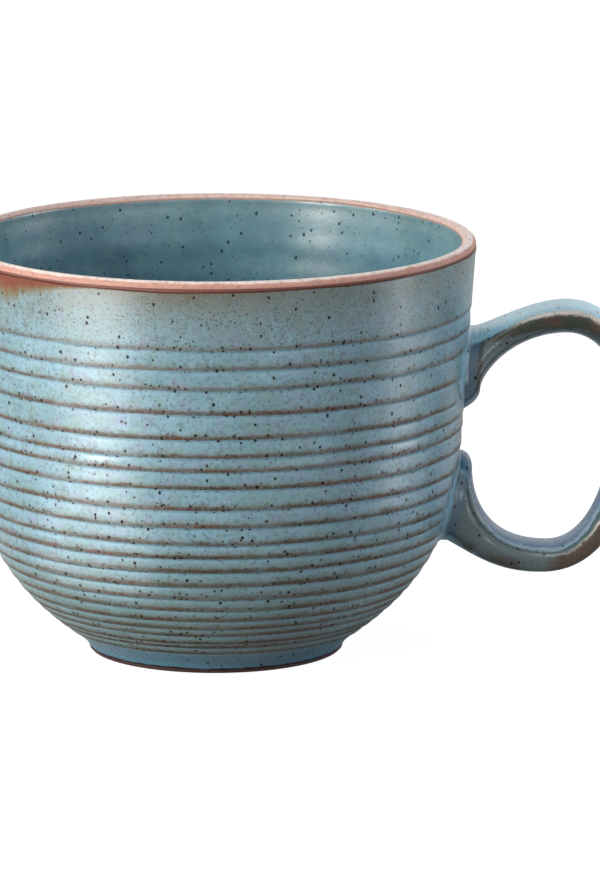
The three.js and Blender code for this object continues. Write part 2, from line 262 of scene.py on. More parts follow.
def mesh_from_rows(name, places, rows_close, marks=None):
    """A mesh whose rows are closed rings. Marks are numbers kept on its points for the finishes."""
    rows, columns = places.shape[:2]
    index = np.arange(rows * columns).reshape(rows, columns)
    upper = index if rows_close else index[:-1]
    lower = np.roll(index, -1, axis=0) if rows_close else index[1:]
    quads = np.stack([upper, np.roll(upper, -1, axis=1), np.roll(lower, -1, axis=1), lower], axis=-1)
    mesh = bpy.data.meshes.new(name)
    mesh.from_pydata(places.reshape(-1, 3).tolist(), [], quads.reshape(-1, 4).tolist())
    for mark, values in (marks or {}).items():
        spread = np.broadcast_to(np.asarray(values, float), (rows, columns))
        mesh.attributes.new(mark, "FLOAT", "POINT").data.foreach_set("value", spread.ravel())
    shape = bmesh.new()
    shape.from_mesh(mesh)
    bmesh.ops.remove_doubles(shape, verts=shape.verts, dist=WELD)
    bmesh.ops.recalc_face_normals(shape, faces=shape.faces)
    shape.to_mesh(mesh)
    shape.free()
    mesh.shade_smooth()
    mesh.set_sharp_from_angle(angle=SHARP_ANGLE)
    print(f"{name}: {len(mesh.vertices)} points, {len(mesh.polygons)} faces")
    return in_scene(name, mesh)


# %% [markdown]
# The outer coat. Glaze is a skin of glass about a third of a millimetre thick. It ends in a soft roll under
# the bare lip, where it was wiped off, and again just above the base. A Solidify modifier could thicken the
# wall's surface, but the coat's back has to follow the clay, so the coat is a closed skin with a face and a
# back. Each point of its face also remembers how far it is from the rib edges below and above it and from
# the coat's two ends: the colour of such a glaze follows its thickness, and that follows the ribs.

# %% Rows of points down the outer coat
COAT = 0.35
BARE_LIP_OUTSIDE = 0.2
BARE_FOOT = 0.6
ROWS_UNDER_EDGE = (0.0, 0.1, 0.2, 0.3, 0.4, 0.5, 0.6, 0.8, 1.1)
ROWS_OVER_EDGE = (1.6, 1.1, 0.75, 0.5, 0.3, 0.15)
PLAIN_ROW = 0.6
LEAST_ROW = 0.07

coat_start = BARE_LIP_OUTSIDE
coat_end = outside.ends[-1] - BARE_FOOT


def rows_between(top, bottom):
    """Distances from an upper edge to just above a lower one, close together near both."""
    middle = (top + bottom) / 2
    rows = [top + below for below in ROWS_UNDER_EDGE if top + below < middle]
    upper_row = rows[-1]
    lower_rows = [bottom - over for over in ROWS_OVER_EDGE if bottom - over > upper_row + LEAST_ROW]
    fill = int((lower_rows[0] - upper_row) // PLAIN_ROW)
    rows += list(np.linspace(upper_row, lower_rows[0], fill + 2)[1:-1])
    return rows + lower_rows


coat_rows = rows_between(coat_start, edges[0])
for upper_edge, lower_edge in zip(edges, rib_ends):
    coat_rows += rows_between(upper_edge, lower_edge)
coat_rows = np.array(coat_rows + [foot_start, coat_end])
print(f"{len(coat_rows)} rows of points on the outer coat")

# %% Make the outer coat
GLAZE_ROLL = 0.09
GLAZE_ROLL_RISE = 0.3
GLAZE_ROLL_LENGTH = 1.4
GLAZE_EDGE_WANDER = 0.12
COAT_EDGE_SUNK = 0.07
COAT_EDGE_ROUND = 0.1
WANDER_STARTS = 6
UNEVENNESS = 0.25
CREST_ROW = 0.3
FAR_AWAY = 50.0

plain_rows = np.concatenate([edges - CREST_ROW, edges + RIB_STEP, [foot_start]])


def edge_roll(from_end):
    """How proud the coat stands near its ends: sunk at the very end, then a roll that fades."""
    rolled = GLAZE_ROLL * smooth(from_end / GLAZE_ROLL_RISE)
    rolled = rolled * (1 - smooth((from_end - GLAZE_ROLL_RISE) / GLAZE_ROLL_LENGTH))
    return rolled - COAT_EDGE_SUNK * (1 - smooth(from_end / COAT_EDGE_ROUND))


def outer_coat():
    from_top = coat_rows - coat_start
    from_bottom = coat_end - coat_rows
    ring_wave = np.sin(3 * turns + 0.4) + 0.6 * np.sin(7 * turns + 1.1) + 0.3 * np.sin(17 * turns)
    end_wander = GLAZE_EDGE_WANDER * ring_wave
    near_top = np.exp(-from_top)[:, None]
    wander = rib_wander(coat_rows) * smooth(from_top / WANDER_STARTS)[:, None]
    wander = wander * smooth(from_bottom / WANDER_STARTS)[:, None]
    depth = rib_depth(coat_rows) - edge_roll(from_top) - edge_roll(from_bottom)
    down = coat_rows[:, None]
    unevenness = 1 + UNEVENNESS * np.sin(9 * turns + 0.8 * down) * np.sin(4 * turns - down)
    face = outside.place(down + wander + end_wander * near_top, depth[:, None] * unevenness)
    back_rows = np.sort(np.append(plain_rows, [coat_start, coat_end]))[::-1]
    back = outside.place(back_rows[:, None] + np.zeros(SEGMENTS), (rib_depth(back_rows) + COAT)[:, None])
    rib = rib_at(coat_rows)
    over_edge = np.append(edges, FAR_AWAY + foot_start)[rib + 1] - coat_rows
    over_edge[np.isin(coat_rows, edges)] = 0
    under_edge = np.where(rib < 0, FAR_AWAY, coat_rows - edges[np.maximum(rib, 0)])
    unseen = np.full(len(back_rows), FAR_AWAY)
    unseen_but_end = np.where(back_rows == coat_start, 0, FAR_AWAY)
    marks = {
        "over_edge": np.concatenate([over_edge, unseen])[:, None],
        "under_edge": np.concatenate([under_edge, unseen])[:, None],
        "from_lip": np.concatenate([from_top, unseen_but_end])[:, None],
        "from_base": np.concatenate([from_bottom, unseen])[:, None],
    }
    return mesh_from_rows("outer_coat", on_cup(np.concatenate([face, back])), True, marks)


outer_coat_piece = outer_coat()

# %% [markdown]
# The clay body. The lip stays bare, and so does the ring that the cup stands on. Under the coats the clay
# carries the same ribs, a coat's thickness further in. Its outline starts under the middle of the cup, goes
# out over the foot ring, up the wall, over the half-round lip, down the inside and back to the axis.

# %% Make the clay body
FOOT_RING_WIDTH = 3.5
FOOT_CHAMFER = 0.3
FOOT_RECESS_DRAFT = 0.6
BARE_LIP_INSIDE = 1.25
LIP_STEPS = 20
BOWL_ROWS = 60
COAT_BED = 0.08
UNDER_COAT = COAT + COAT_BED
JUST_SUNK = 0.03
RECESS_FILLET = (0.5, 0.3)
RING_INNER_ROUND = 0.25
RING_EDGE_SOFT = 0.1
FOOT_EDGE_ROW = 0.25
ROWS_UNDER_LIP = (1.6, 0.9, 0.45, 0.2, 0.0, -0.1)
DEPTHS_UNDER_LIP = (UNDER_COAT, 0.2, JUST_SUNK, 0, 0, 0)
ROWS_INSIDE_LIP = (0.3, 0.9)
BOWL_STARTS = 1

foot_ring_outer = FOOT_RADIUS - FOOT_TAPER - FOOT_CHAMFER
foot_ring_inner = foot_ring_outer - FOOT_RING_WIDTH
recess_radius = foot_ring_inner - FOOT_RECESS_DRAFT


def clay_body():
    underside = np.array([
        [0, FOOT_RECESS_DEPTH],
        [recess_radius - RECESS_FILLET[0], FOOT_RECESS_DEPTH],
        [recess_radius, FOOT_RECESS_DEPTH - RECESS_FILLET[1]],
        [foot_ring_inner - RING_EDGE_SOFT, RING_INNER_ROUND],
        [foot_ring_inner + RING_INNER_ROUND, 0],
        [foot_ring_outer - RING_EDGE_SOFT, 0],
        [foot_ring_outer + RING_EDGE_SOFT, RING_EDGE_SOFT / 2],
        [FOOT_RADIUS - FOOT_TAPER, FOOT_CHAMFER],
    ])
    up_rows = np.sort(plain_rows)[::-1]
    foot = outside.place(np.array([coat_end + FOOT_EDGE_ROW, coat_end]), np.array([0.0, JUST_SUNK]))
    wall = outside.place(up_rows, rib_depth(up_rows) + UNDER_COAT)
    lip_outside = outside.place(coat_start + np.array(ROWS_UNDER_LIP), np.array(DEPTHS_UNDER_LIP))
    half = LIP_THICKNESS / 2
    angles = np.linspace(0, math.pi / 2 + BARE_LIP_INSIDE / half, LIP_STEPS + 1)
    lip = np.column_stack([RIM_RADIUS - half + half * np.cos(angles), HEIGHT - half + half * np.sin(angles)])
    below_inner = BARE_LIP_INSIDE + np.array(ROWS_INSIDE_LIP)
    lip_inside = inside.place(below_inner, np.array([JUST_SUNK, UNDER_COAT]))
    bowl_rows = np.linspace(below_inner[-1] + BOWL_STARTS, inside.ends[-1], BOWL_ROWS)
    bowl = inside.place(bowl_rows, UNDER_COAT)
    bowl[-1, 0] = 0
    parts = [underside, foot, wall, lip_outside, lip, lip_inside, bowl]
    lip_begins = len(underside) + len(foot) + len(wall) + len(lip_outside)
    rows = np.concatenate(parts)
    across_lip = np.clip((np.arange(len(rows)) - lip_begins) / LIP_STEPS, 0, 1)
    return mesh_from_rows("clay_body", on_cup(rows), False, {"across_lip": across_lip[:, None]})


clay_body_piece = clay_body()

# %% [markdown]
# The liner and the foot's coat. The inside was glazed by pouring glaze in and out again, so its coat is
# smooth, with only the faint rings that the thrower's fingers leave. The recess under the foot has a thin
# round pool of the same glaze, which is seen only when the cup is turned over.

# %% Make the liner coat and the coat under the foot
FINGER_RINGS = 0.035
FINGER_RING_SPACING = 5.5
CLEARANCE = 0.3
LINER_ROWS = 110
LINER_CROWDING = 1.15
LINER_START_ROWS = (0.0, 0.08, 0.2, 0.35, 0.6)
LINER_LEAST_ROW = 0.3
FINGER_RINGS_START = 8
FOOT_POOL_ROWS = (0, 0.3, 0.6, 0.85)
FOOT_POOL_ROUND = ((0.4, 0.0), (0.12, 0.06), (0.0, 0.2))


def liner_coat():
    shares = np.linspace(0, 1, LINER_ROWS) ** LINER_CROWDING
    rows = BARE_LIP_INSIDE + (inside.ends[-1] - BARE_LIP_INSIDE) * shares
    start = BARE_LIP_INSIDE + np.array(LINER_START_ROWS)
    rows = np.concatenate([start, rows[rows > start[-1] + LINER_LEAST_ROW]])
    from_top = rows - BARE_LIP_INSIDE
    finger_rings = FINGER_RINGS * np.sin(2 * math.pi * rows / FINGER_RING_SPACING)
    finger_rings = finger_rings * smooth(from_top / FINGER_RINGS_START)
    edge_wander = GLAZE_EDGE_WANDER * (np.sin(4 * turns) + 0.5 * np.sin(9 * turns + 2))
    along = rows[:, None] + edge_wander * np.exp(-from_top)[:, None]
    face = inside.place(along, (finger_rings - edge_roll(from_top))[:, None] + np.zeros(SEGMENTS))
    back_rows = np.append(rows[:-1:3], rows[-1])
    back = inside.place(back_rows[:, None] + np.zeros(SEGMENTS), COAT)
    face[-1, :, 0] = 0
    back[-1, :, 0] = 0
    from_lip = np.concatenate([from_top[::-1], np.full(len(back), FAR_AWAY)])
    places = on_cup(np.concatenate([face[::-1], back]))
    return mesh_from_rows("liner_coat", places, False, {"from_lip": from_lip[:, None]})


def foot_coat():
    radius = recess_radius - CLEARANCE
    low = FOOT_RECESS_DEPTH - COAT
    rows = [[radius * share, low] for share in FOOT_POOL_ROWS]
    rows += [[radius - inset, low + rise] for inset, rise in FOOT_POOL_ROUND]
    rows += [[radius, FOOT_RECESS_DEPTH], [0, FOOT_RECESS_DEPTH]]
    return mesh_from_rows("foot_coat", on_cup(rows), False, {"from_lip": FAR_AWAY})


liner_piece = liner_coat()
foot_coat_piece = foot_coat()

# %% [markdown]
# The handle. A strap of clay leaves the wall in a tall, flared end, bows out for a finger and comes back to a
# second flared end. Seen from the side it has an outer and an inner edge. Each is drawn as Bezier curves,
# and an oval is lofted between them. The inner edge turns round a small nose at each end, where a thumb
# pressed the clay on. A Blender curve with a bevel would keep one section all the way; the loft lets the
# ends swell.

# %% Places near the wall, and curves for the bow
END_STEPS = 12
LOOP_STEPS = (44, 30, 40, 44)


def wall_radius(height):
    """How far the wall's outside is from the axis at a height."""
    return np.interp(height, outside.points[::-1, 1], outside.points[::-1, 0])


def near_wall(height, out=0.0):
    return np.array([wall_radius(height) + out, height])


def loop(start, top, out, bottom, end, start_pull, top_pull, side_pull, bottom_pull, end_pull):
    """One edge of the bow, from the upper end to the lower one. Pulls are shares of each stretch."""
    rise, over, under, back = top - start, out - top, out - bottom, bottom - end
    stretches = [
        (start, start + rise * start_pull, top - [rise[0] * top_pull, 0], top),
        (top, top + [over[0] * QUARTER_ELLIPSE, 0], out - [0, over[1] * QUARTER_ELLIPSE], out),
        (out, out - [0, under[1] * side_pull[1]], bottom + [under[0] * side_pull[0], 0], bottom),
        (bottom, bottom - [back[0] * bottom_pull, 0], end + back * end_pull, end),
    ]
    return [bezier(*stretch, steps) for stretch, steps in zip(stretches, LOOP_STEPS)]


def nose(wall, tip, wall_pull, tip_pull):
    """The rounded end of the inner edge, from the wall to its tip."""
    size = tip - wall
    return bezier(wall, wall + size * wall_pull, tip - size * tip_pull, tip, END_STEPS)


print(f"{sum(LOOP_STEPS) + 2 * END_STEPS} steps along each edge of the strap")

# %% The strap's two edges seen from the side
LOOP_REACH_BELOW_RIM = 27.9
LOOP_TOP_OUT = 16.4
LOOP_BOTTOM_OUT = 11.7
UPPER_END_BELOW_RIM = 16.5
UPPER_END_HEIGHT = 14.2
LOWER_END_ABOVE_BASE = 19.5
LOWER_END_HEIGHT = 15.6
STRAP_THICKNESS = 4.9
LOWER_THICKNESS = 4.6
STRAP_END_EDGE = 1.4
UPPER_NOSE = (2.8, 3.0)
LOWER_NOSE = (2.3, -2.5)
INNER_TOP_BACK = 0.3
INNER_BOTTOM_OUT = 1.5


def strap_edges():
    top = np.array([RIM_RADIUS + LOOP_TOP_OUT, LOOP_TOP])
    out = np.array([LOOP_OUT, HEIGHT - LOOP_REACH_BELOW_RIM])
    bottom = np.array([RIM_RADIUS + LOOP_BOTTOM_OUT, LOOP_BOTTOM])
    upper_end = HEIGHT - UPPER_END_BELOW_RIM
    start = near_wall(upper_end, STRAP_END_EDGE)
    end = near_wall(LOWER_END_ABOVE_BASE, STRAP_END_EDGE)
    outer = [straight(near_wall(upper_end), start, END_STEPS)]
    outer += loop(start, top, out, bottom, end, start_pull=np.array([0.24, 0.23]), top_pull=0.4,
                  side_pull=(0.68, 0.6), bottom_pull=0.49, end_pull=np.array([0.32, 0.52]))
    outer += [straight(end, near_wall(LOWER_END_ABOVE_BASE), END_STEPS)]

    upper_wall = near_wall(upper_end - UPPER_END_HEIGHT)
    lower_wall = near_wall(LOWER_END_ABOVE_BASE + LOWER_END_HEIGHT)
    upper_tip = upper_wall + UPPER_NOSE
    lower_tip = near_wall(lower_wall[1] + LOWER_NOSE[1], LOWER_NOSE[0])
    inner_top = top - [INNER_TOP_BACK, STRAP_THICKNESS]
    inner_out = out - [STRAP_THICKNESS, 0]
    inner_bottom = bottom + [INNER_BOTTOM_OUT, LOWER_THICKNESS]
    inner = [nose(upper_wall, upper_tip, wall_pull=np.array([0.46, 0.23]), tip_pull=np.array([0.11, 0.47]))]
    inner += loop(upper_tip, inner_top, inner_out, inner_bottom, lower_tip,
                  start_pull=np.array([-0.03, 0.29]), top_pull=0.59,
                  side_pull=(0.6, 0.58), bottom_pull=0.79, end_pull=np.array([0.01, 0.45]))
    lower_nose = nose(lower_wall, lower_tip, wall_pull=np.array([0.6, 0.0]), tip_pull=np.array([0.0, 0.5]))
    inner += [lower_nose[::-1]]
    return [np.concatenate([edge[0]] + [stretch[1:] for stretch in edge[1:]]) for edge in (outer, inner)]


strap_outer, strap_inner = strap_edges()
strap_middle = (strap_outer + strap_inner) / 2
strap_steps = np.linalg.norm(np.diff(strap_middle, axis=0), axis=1)
strap_along = np.concatenate([[0.0], np.cumsum(strap_steps)])
print(f"upper end at {strap_outer[0].round(1)}, lower end at {strap_outer[-1].round(1)} (out, up)")
print(f"the strap is {strap_along[-1]:.0f} mm long")

# %% The strap's sections
STRAP_WIDTH = 12.8
STRAP_END_WIDTH = 17.5
STRAP_FLARE = 12.0
OUTER_SQUARENESS = 4.0
INNER_SQUARENESS = 2.4
END_SQUARENESS = 2.3
STRAP_RING_POINTS = 96


def section(angle, flare):
    """Across and through the strap, each from -1 to 1: flat outside, round inside, an oval at the flares."""
    squareness = np.where(np.sin(angle) > 0, OUTER_SQUARENESS, INNER_SQUARENESS)
    squareness = squareness + (END_SQUARENESS - squareness) * flare
    across = np.sign(np.cos(angle)) * np.abs(np.cos(angle)) ** (2 / squareness)
    through = np.sign(np.sin(angle)) * np.abs(np.sin(angle)) ** (2 / squareness)
    return across, through


def even_angles(count):
    """Angles that spread points evenly round the bow's section."""
    angle = np.linspace(0, 2 * math.pi, 40 * count + 1)
    across, through = section(angle, 0)
    steps = np.hypot(np.diff(across) * STRAP_WIDTH, np.diff(through) * STRAP_THICKNESS)
    along = np.concatenate([[0], np.cumsum(steps)])
    return np.interp(np.linspace(0, along[-1], count, endpoint=False), along, angle)


ring_angles = even_angles(STRAP_RING_POINTS)


def strap_ring(outer, inner, width, flare, offset=0.0):
    """Places (out, across, up) round sections between points of the two edges, swollen by an offset."""
    across, through = section(ring_angles, np.asarray(flare)[..., None])
    middle = (outer + inner) / 2
    half = (outer - inner) / 2
    length = np.linalg.norm(half, axis=-1, keepdims=True)
    half = half * (1 + offset / length)
    out = middle[..., :1] + half[..., :1] * through
    up = middle[..., 1:] + half[..., 1:] * through
    side = (np.asarray(width)[..., None] / 2 + offset) * across
    return np.stack([out, side, up], axis=-1)


from_end = np.minimum(strap_along, strap_along[-1] - strap_along)
strap_flare = 1 - smooth(from_end / STRAP_FLARE)
strap_widths = STRAP_WIDTH + (STRAP_END_WIDTH - STRAP_WIDTH) * strap_flare
print(f"{len(strap_widths)} sections of {STRAP_RING_POINTS} points along the strap")

# %% Make the strap
STRAP_BURIED = 2.6
STRAP_HAND_WAVE = 0.08
RIDGE_ANGLE = math.pi / 4


def to_frame(places):
    """From (out from the axis, across, up) in millimetres to the frame in metres."""
    return (places + [AXIS_X, 0, 0]) * MM


def past_ridges(ring):
    """Distances round a section from its outer and its inner ridge, growing towards the inner face."""
    steps = np.linalg.norm(np.diff(ring, axis=0, append=ring[:1]), axis=1)
    round_ring = np.concatenate([[0], np.cumsum(steps)])
    angles = np.append(ring_angles, 2 * math.pi)
    wanted = [math.pi / 2, math.pi - RIDGE_ANGLE, math.pi + RIDGE_ANGLE]
    middle, outer_ridge, inner_ridge = np.interp(wanted, angles, round_ring)
    from_middle = np.abs(round_ring[:-1] - middle)
    from_middle = np.minimum(from_middle, round_ring[-1] - from_middle)
    return from_middle - (outer_ridge - middle), from_middle - (inner_ridge - middle)


def strap():
    rings = strap_ring(strap_outer, strap_inner, strap_widths, strap_flare)
    station = np.arange(len(rings))[:, None]
    rings[..., 1] *= 1 + STRAP_HAND_WAVE / STRAP_WIDTH * np.sin(0.19 * station + 2 * ring_angles)
    rings[..., 2] += STRAP_HAND_WAVE * np.sin(0.12 * station + ring_angles)
    ridges = np.array([past_ridges(ring) for ring in rings])
    marks = {
        "along_strap": np.repeat(strap_along[:, None] / strap_along[-1], STRAP_RING_POINTS, axis=1),
        "past_ridge": ridges[:, 0],
        "past_inner_ridge": ridges[:, 1],
        "from_wall": np.hypot(rings[..., 0], rings[..., 1]) - wall_radius(rings[..., 2]),
    }
    caps = [rings[end] - [STRAP_BURIED, 0, 0] for end in (0, -1)]
    middles = [np.repeat(cap.mean(axis=0, keepdims=True), STRAP_RING_POINTS, axis=0) for cap in caps]
    rings = np.concatenate([[middles[0], caps[0]], rings, [caps[1], middles[1]]])
    for mark, values in marks.items():
        marks[mark] = np.concatenate([values[[0, 0]], values, values[[-1, -1]]])
    return mesh_from_rows("handle_strap", to_frame(rings), False, marks)


strap_piece = strap()

# %% [markdown]
# The joints. Slip is squeezed out when the strap is pressed on and smeared to both sides, and the glaze pools
# where that smear meets the wall, as a line of brighter blue. A bevel can't run along the seam of two
# separate meshes, so each joint is a ring of its own: a hollow fillet whose edges dip just under strap and
# wall.

# %% Make the two joints
BEAD_ON_STRAP = 1.9
BEAD_ON_NOSE = 0.7
BEAD_ON_WALL = 0.7
BEAD_SIDE_SPREAD = 3.0
BEAD_SUNK = 0.3
BEAD_IN_STRAP = 0.45
BEAD_ROOT = 0.9
ROOT_ON_WALL = 0.8
ROOT_SIDE_SPREAD = 0.9
BEAD_STEPS = 14


def on_wall(ring, depth):
    """Ring places moved along the strap onto the wall's outside, sunk by a depth."""
    side, up = ring[..., 1], ring[..., 2]
    return np.stack([np.sqrt((wall_radius(up) - depth) ** 2 - side**2), side, up], axis=-1)


def bead(name, outer, inner):
    def ring(offset, spread=0.0):
        return strap_ring(outer, inner, STRAP_END_WIDTH + 2 * spread, 1.0, offset)

    through = section(ring_angles, 1.0)[1]
    reach = BEAD_ON_STRAP + (BEAD_ON_NOSE - BEAD_ON_STRAP) * smooth(-through)
    corner = on_wall(ring(0), 0)
    strap_edge = on_wall(ring(-BEAD_IN_STRAP), 0)
    strap_edge[:, 0] += reach
    wall_edge = on_wall(ring(BEAD_ON_WALL, BEAD_SIDE_SPREAD), BEAD_SUNK)
    wall_root = on_wall(ring(BEAD_ON_WALL * ROOT_ON_WALL, BEAD_SIDE_SPREAD * ROOT_SIDE_SPREAD), BEAD_ROOT)
    strap_root = on_wall(ring(-2 * BEAD_IN_STRAP), BEAD_ROOT)
    share = np.linspace(0, 1, BEAD_STEPS + 1)
    part = share[:, None, None]
    fillet = (1 - part) ** 2 * strap_edge + 2 * part * (1 - part) * corner + part**2 * wall_edge
    rows = np.concatenate([fillet, [wall_root, strap_root]])
    across_bead = np.concatenate([share, [1, 0]])
    return mesh_from_rows(name, to_frame(rows), True, {"across_bead": across_bead[:, None]})


upper_bead_piece = bead("upper_bead", strap_outer[0], strap_inner[0])
lower_bead_piece = bead("lower_bead", strap_outer[-1], strap_inner[-1])

# %% [markdown]
# Finishes. None of them is painted from pictures: every spot and line is worked out by shader nodes from a
# point's place on the cup, in millimetres, and from the marks that the meshes carry. Wiring such nodes by
# hand in the shader editor is the usual way, but it takes a few hundred of them here. So a Value can be added
# to, multiplied and faded like a number, and every such step adds the node that does it.

# %% Values that nodes work out
BAND_CORE = 0.25


class Value:
    """What a node gives. Whatever is done with it adds further nodes."""

    def __init__(self, nodes, socket):
        self.nodes = nodes
        self.socket = socket

    def __add__(self, other):
        return self.nodes.math("ADD", self, other)

    def __sub__(self, other):
        return self.nodes.math("SUBTRACT", self, other)

    def __rsub__(self, other):
        return self.nodes.math("SUBTRACT", other, self)

    def __mul__(self, other):
        return self.nodes.math("MULTIPLY", self, other)

    def __truediv__(self, other):
        return self.nodes.math("DIVIDE", self, other)

    def __or__(self, other):
        """The larger of two values, for a place that belongs to either."""
        return self.nodes.math("MAXIMUM", self, other)

    def __abs__(self):
        return self.nodes.math("ABSOLUTE", self)

    def fade(self, none, full):
        """0 where the value is at none or beyond, 1 where it is at full or beyond, smooth between."""
        inputs = {"Value": self, "From Min": none, "From Max": full}
        return self.nodes.node("ShaderNodeMapRange", inputs, interpolation_type="SMOOTHSTEP")

    def band(self, middle, reach):
        """1 in the middle of a band, 0 beyond its reach on both sides."""
        return abs(self - middle).fade(reach, reach * BAND_CORE)

    def between(self, start, end, soft):
        """1 between a start and an end, with soft edges."""
        return self.fade(start - soft, start + soft) * self.fade(end + soft, end - soft)


# %% A node tree with short calls


class Nodes:
    """A node tree, and short calls that add nodes to it."""

    def __init__(self, tree):
        self.tree = tree

    def node(self, kind, inputs, output=0, **settings):
        made = self.tree.nodes.new(kind)
        for setting, value in settings.items():
            setattr(made, setting, value)
        for socket, value in inputs.items():
            self.feed(made.inputs[socket], value)
        return Value(self, made.outputs[output])

    def feed(self, socket, value):
        if isinstance(value, Value):
            value = value.socket
        if isinstance(value, bpy.types.NodeSocket):
            self.tree.links.new(value, socket)
        else:
            socket.default_value = value

    def math(self, operation, *values):
        return self.node("ShaderNodeMath", dict(enumerate(values)), operation=operation)

    def mix(self, share, ground, top):
        return self.node("ShaderNodeMix", {0: share, 6: ground, 7: top}, output=2, data_type="RGBA")


# %% [markdown]
# A finish is a material whose colours are laid one over another, each as strongly as some share says, much as
# a glaze takes its colours from what lies under it. Clouds are soft noise for patches and ragged edges.
# Flecks are the cells of a Voronoi pattern, of which only some hold a fleck. A colour is written as it would
# be picked on a screen, and turned into the linear colour that shaders work with.

# %% Colours picked on a screen


def colour(red, green, blue):
    """A colour picked on a screen, 0 to 255, as the linear colour that shaders use."""
    shares = [value / 255 for value in (red, green, blue)]
    linear = [s / 12.92 if s <= 0.04045 else ((s + 0.055) / 1.055) ** 2.4 for s in shares]
    return (*linear, 1.0)


print("middle grey as shaders see it:", round(colour(128, 128, 128)[0], 3))

# %% A material with clouds, flecks and colours laid over each other
EVEN = (1, 1, 1)
FULL_GLOSS = 0.5
GLAZE_IOR = 1.65
CLAY_IOR = 1.5
FLECK_SHIFT = (17.3, 9.1, 5.7)
FLECK_RAGGED = 0.9
FLECK_RAGS_PER_MM = 3.0
LEAST_FLECK = 0.3
FLECK_CORE = (0.1, 0.15)
FLECK_HALO = 1.2


class Finish(Nodes):
    """A material with its main shader, and the colour that has been laid on it so far."""

    def __init__(self, name, base=None):
        self.material = bpy.data.materials.new(name)
        self.material.use_nodes = True
        super().__init__(self.material.node_tree)
        self.shader = self.tree.nodes["Principled BSDF"]
        self.base = base

    def lay(self, top, share):
        """Lays a colour over what is there, as strongly as the share says."""
        self.base = self.mix(share, self.base, top)

    def mark(self, name):
        """A number that the mesh carries on its points."""
        return self.node("ShaderNodeAttribute", {}, output=2, attribute_name=name)

    def place(self, stretch=EVEN):
        """The place on the cup in millimetres, squeezed so that what is drawn on it is stretched."""
        object_place = self.node("ShaderNodeTexCoord", {}, output=3)
        scale = [1 / (MM * value) for value in stretch]
        return self.node("ShaderNodeVectorMath", {0: object_place, 1: scale}, operation="MULTIPLY")

    def height(self):
        return self.node("ShaderNodeSeparateXYZ", {0: self.place()}, output=2)

    def clouds(self, size, seed, detail=2.0, stretch=EVEN):
        """Soft noise with patches of about this size in millimetres, mostly between 0.3 and 0.7."""
        inputs = {"Vector": self.place(stretch), "W": seed, "Scale": 1 / size, "Detail": detail}
        return self.node("ShaderNodeTexNoise", inputs, noise_dimensions="4D")

    def flecks(self, spacing, radius, share, seed, stretch=EVEN):
        """Cores and halos of round flecks up to this radius; share is how many of the cells hold one."""
        shift = [way * seed for way in FLECK_SHIFT]
        rags = {"Vector": self.place(stretch), "Scale": FLECK_RAGS_PER_MM}
        rags = {0: self.node("ShaderNodeTexNoise", rags, output=1), "Scale": radius * FLECK_RAGGED}
        ragged = self.node("ShaderNodeVectorMath", rags, operation="SCALE")
        where = self.node("ShaderNodeVectorMath", {0: self.place(stretch), 1: ragged}, operation="ADD")
        where = self.node("ShaderNodeVectorMath", {0: where, 1: shift}, operation="ADD")
        cells = {"Vector": where, "Scale": 1 / spacing}
        lot = self.node("ShaderNodeTexVoronoi", cells, output=1)
        held, size = [self.node("ShaderNodeSeparateColor", {0: lot}, output=n) for n in (0, 1)]
        held = self.math("LESS_THAN", held, share)
        reach = (size * (1 - LEAST_FLECK) + LEAST_FLECK) * radius
        from_rim = self.node("ShaderNodeTexVoronoi", cells) * spacing - reach
        core = from_rim.fade(radius * FLECK_CORE[0], -radius * FLECK_CORE[1])
        halo = from_rim.fade(radius * FLECK_HALO, 0.0)
        return core * held, halo * held

    def finish(self, roughness, relief, bump_mm, ior=GLAZE_IOR, dull=None):
        """Feeds the shader; dull is 1 where iron leaves the surface without gloss."""
        bump = {"Height": relief, "Distance": bump_mm * MM, "Strength": 1.0}
        inputs = {"Base Color": self.base, "Roughness": roughness, "IOR": ior,
                  "Normal": self.node("ShaderNodeBump", bump)}
        if dull is not None:
            inputs["Specular IOR Level"] = (1 - dull) * FULL_GLOSS
        for socket, value in inputs.items():
            self.feed(self.shader.inputs[socket], value)
        print(f"{self.material.name}: {len(self.tree.nodes)} nodes")
        return self.material


# %% [markdown]
# The pale blue glaze is an opaque satin glaze over iron-rich clay. Where it lies thick it is sky blue, with
# softer patches of teal, violet and green. Iron bleeds up through it as specks: large dark ones with a rusty
# halo, and many small grey ones. The same ground serves the wall and the strap.

# %% The glaze's ground: soft patches of several blues
SKY_BLUE = colour(142, 184, 203)
TEAL_BLUE = colour(124, 167, 180)
VIOLET_GREY = colour(142, 160, 188)
GREEN_GREY = colour(128, 162, 160)
DEEP_TEAL = colour(88, 120, 134)


def blue_ground(glaze):
    glaze.base = TEAL_BLUE
    glaze.lay(SKY_BLUE, glaze.clouds(size=9, seed=1).fade(0.36, 0.64))
    glaze.lay(VIOLET_GREY, glaze.clouds(size=2.4, seed=2, detail=3).fade(0.48, 0.66) * 0.75)
    glaze.lay(GREEN_GREY, glaze.clouds(size=3.0, seed=3, detail=3).fade(0.48, 0.66) * 0.65)
    glaze.lay(DEEP_TEAL, glaze.clouds(size=0.8, seed=4, detail=3).fade(0.47, 0.68) * 0.62)


print("sky blue as shaders see it:", [round(part, 3) for part in SKY_BLUE])

# %% Specks that bleed out of the clay
IRON_BLACK = colour(12, 11, 13)
IRON_RUST = colour(118, 88, 74)
SPECK_GREY = colour(78, 98, 106)
RUN_OF_SPECKS = (1, 1, 1.25)
SPECK_PIT = -0.6


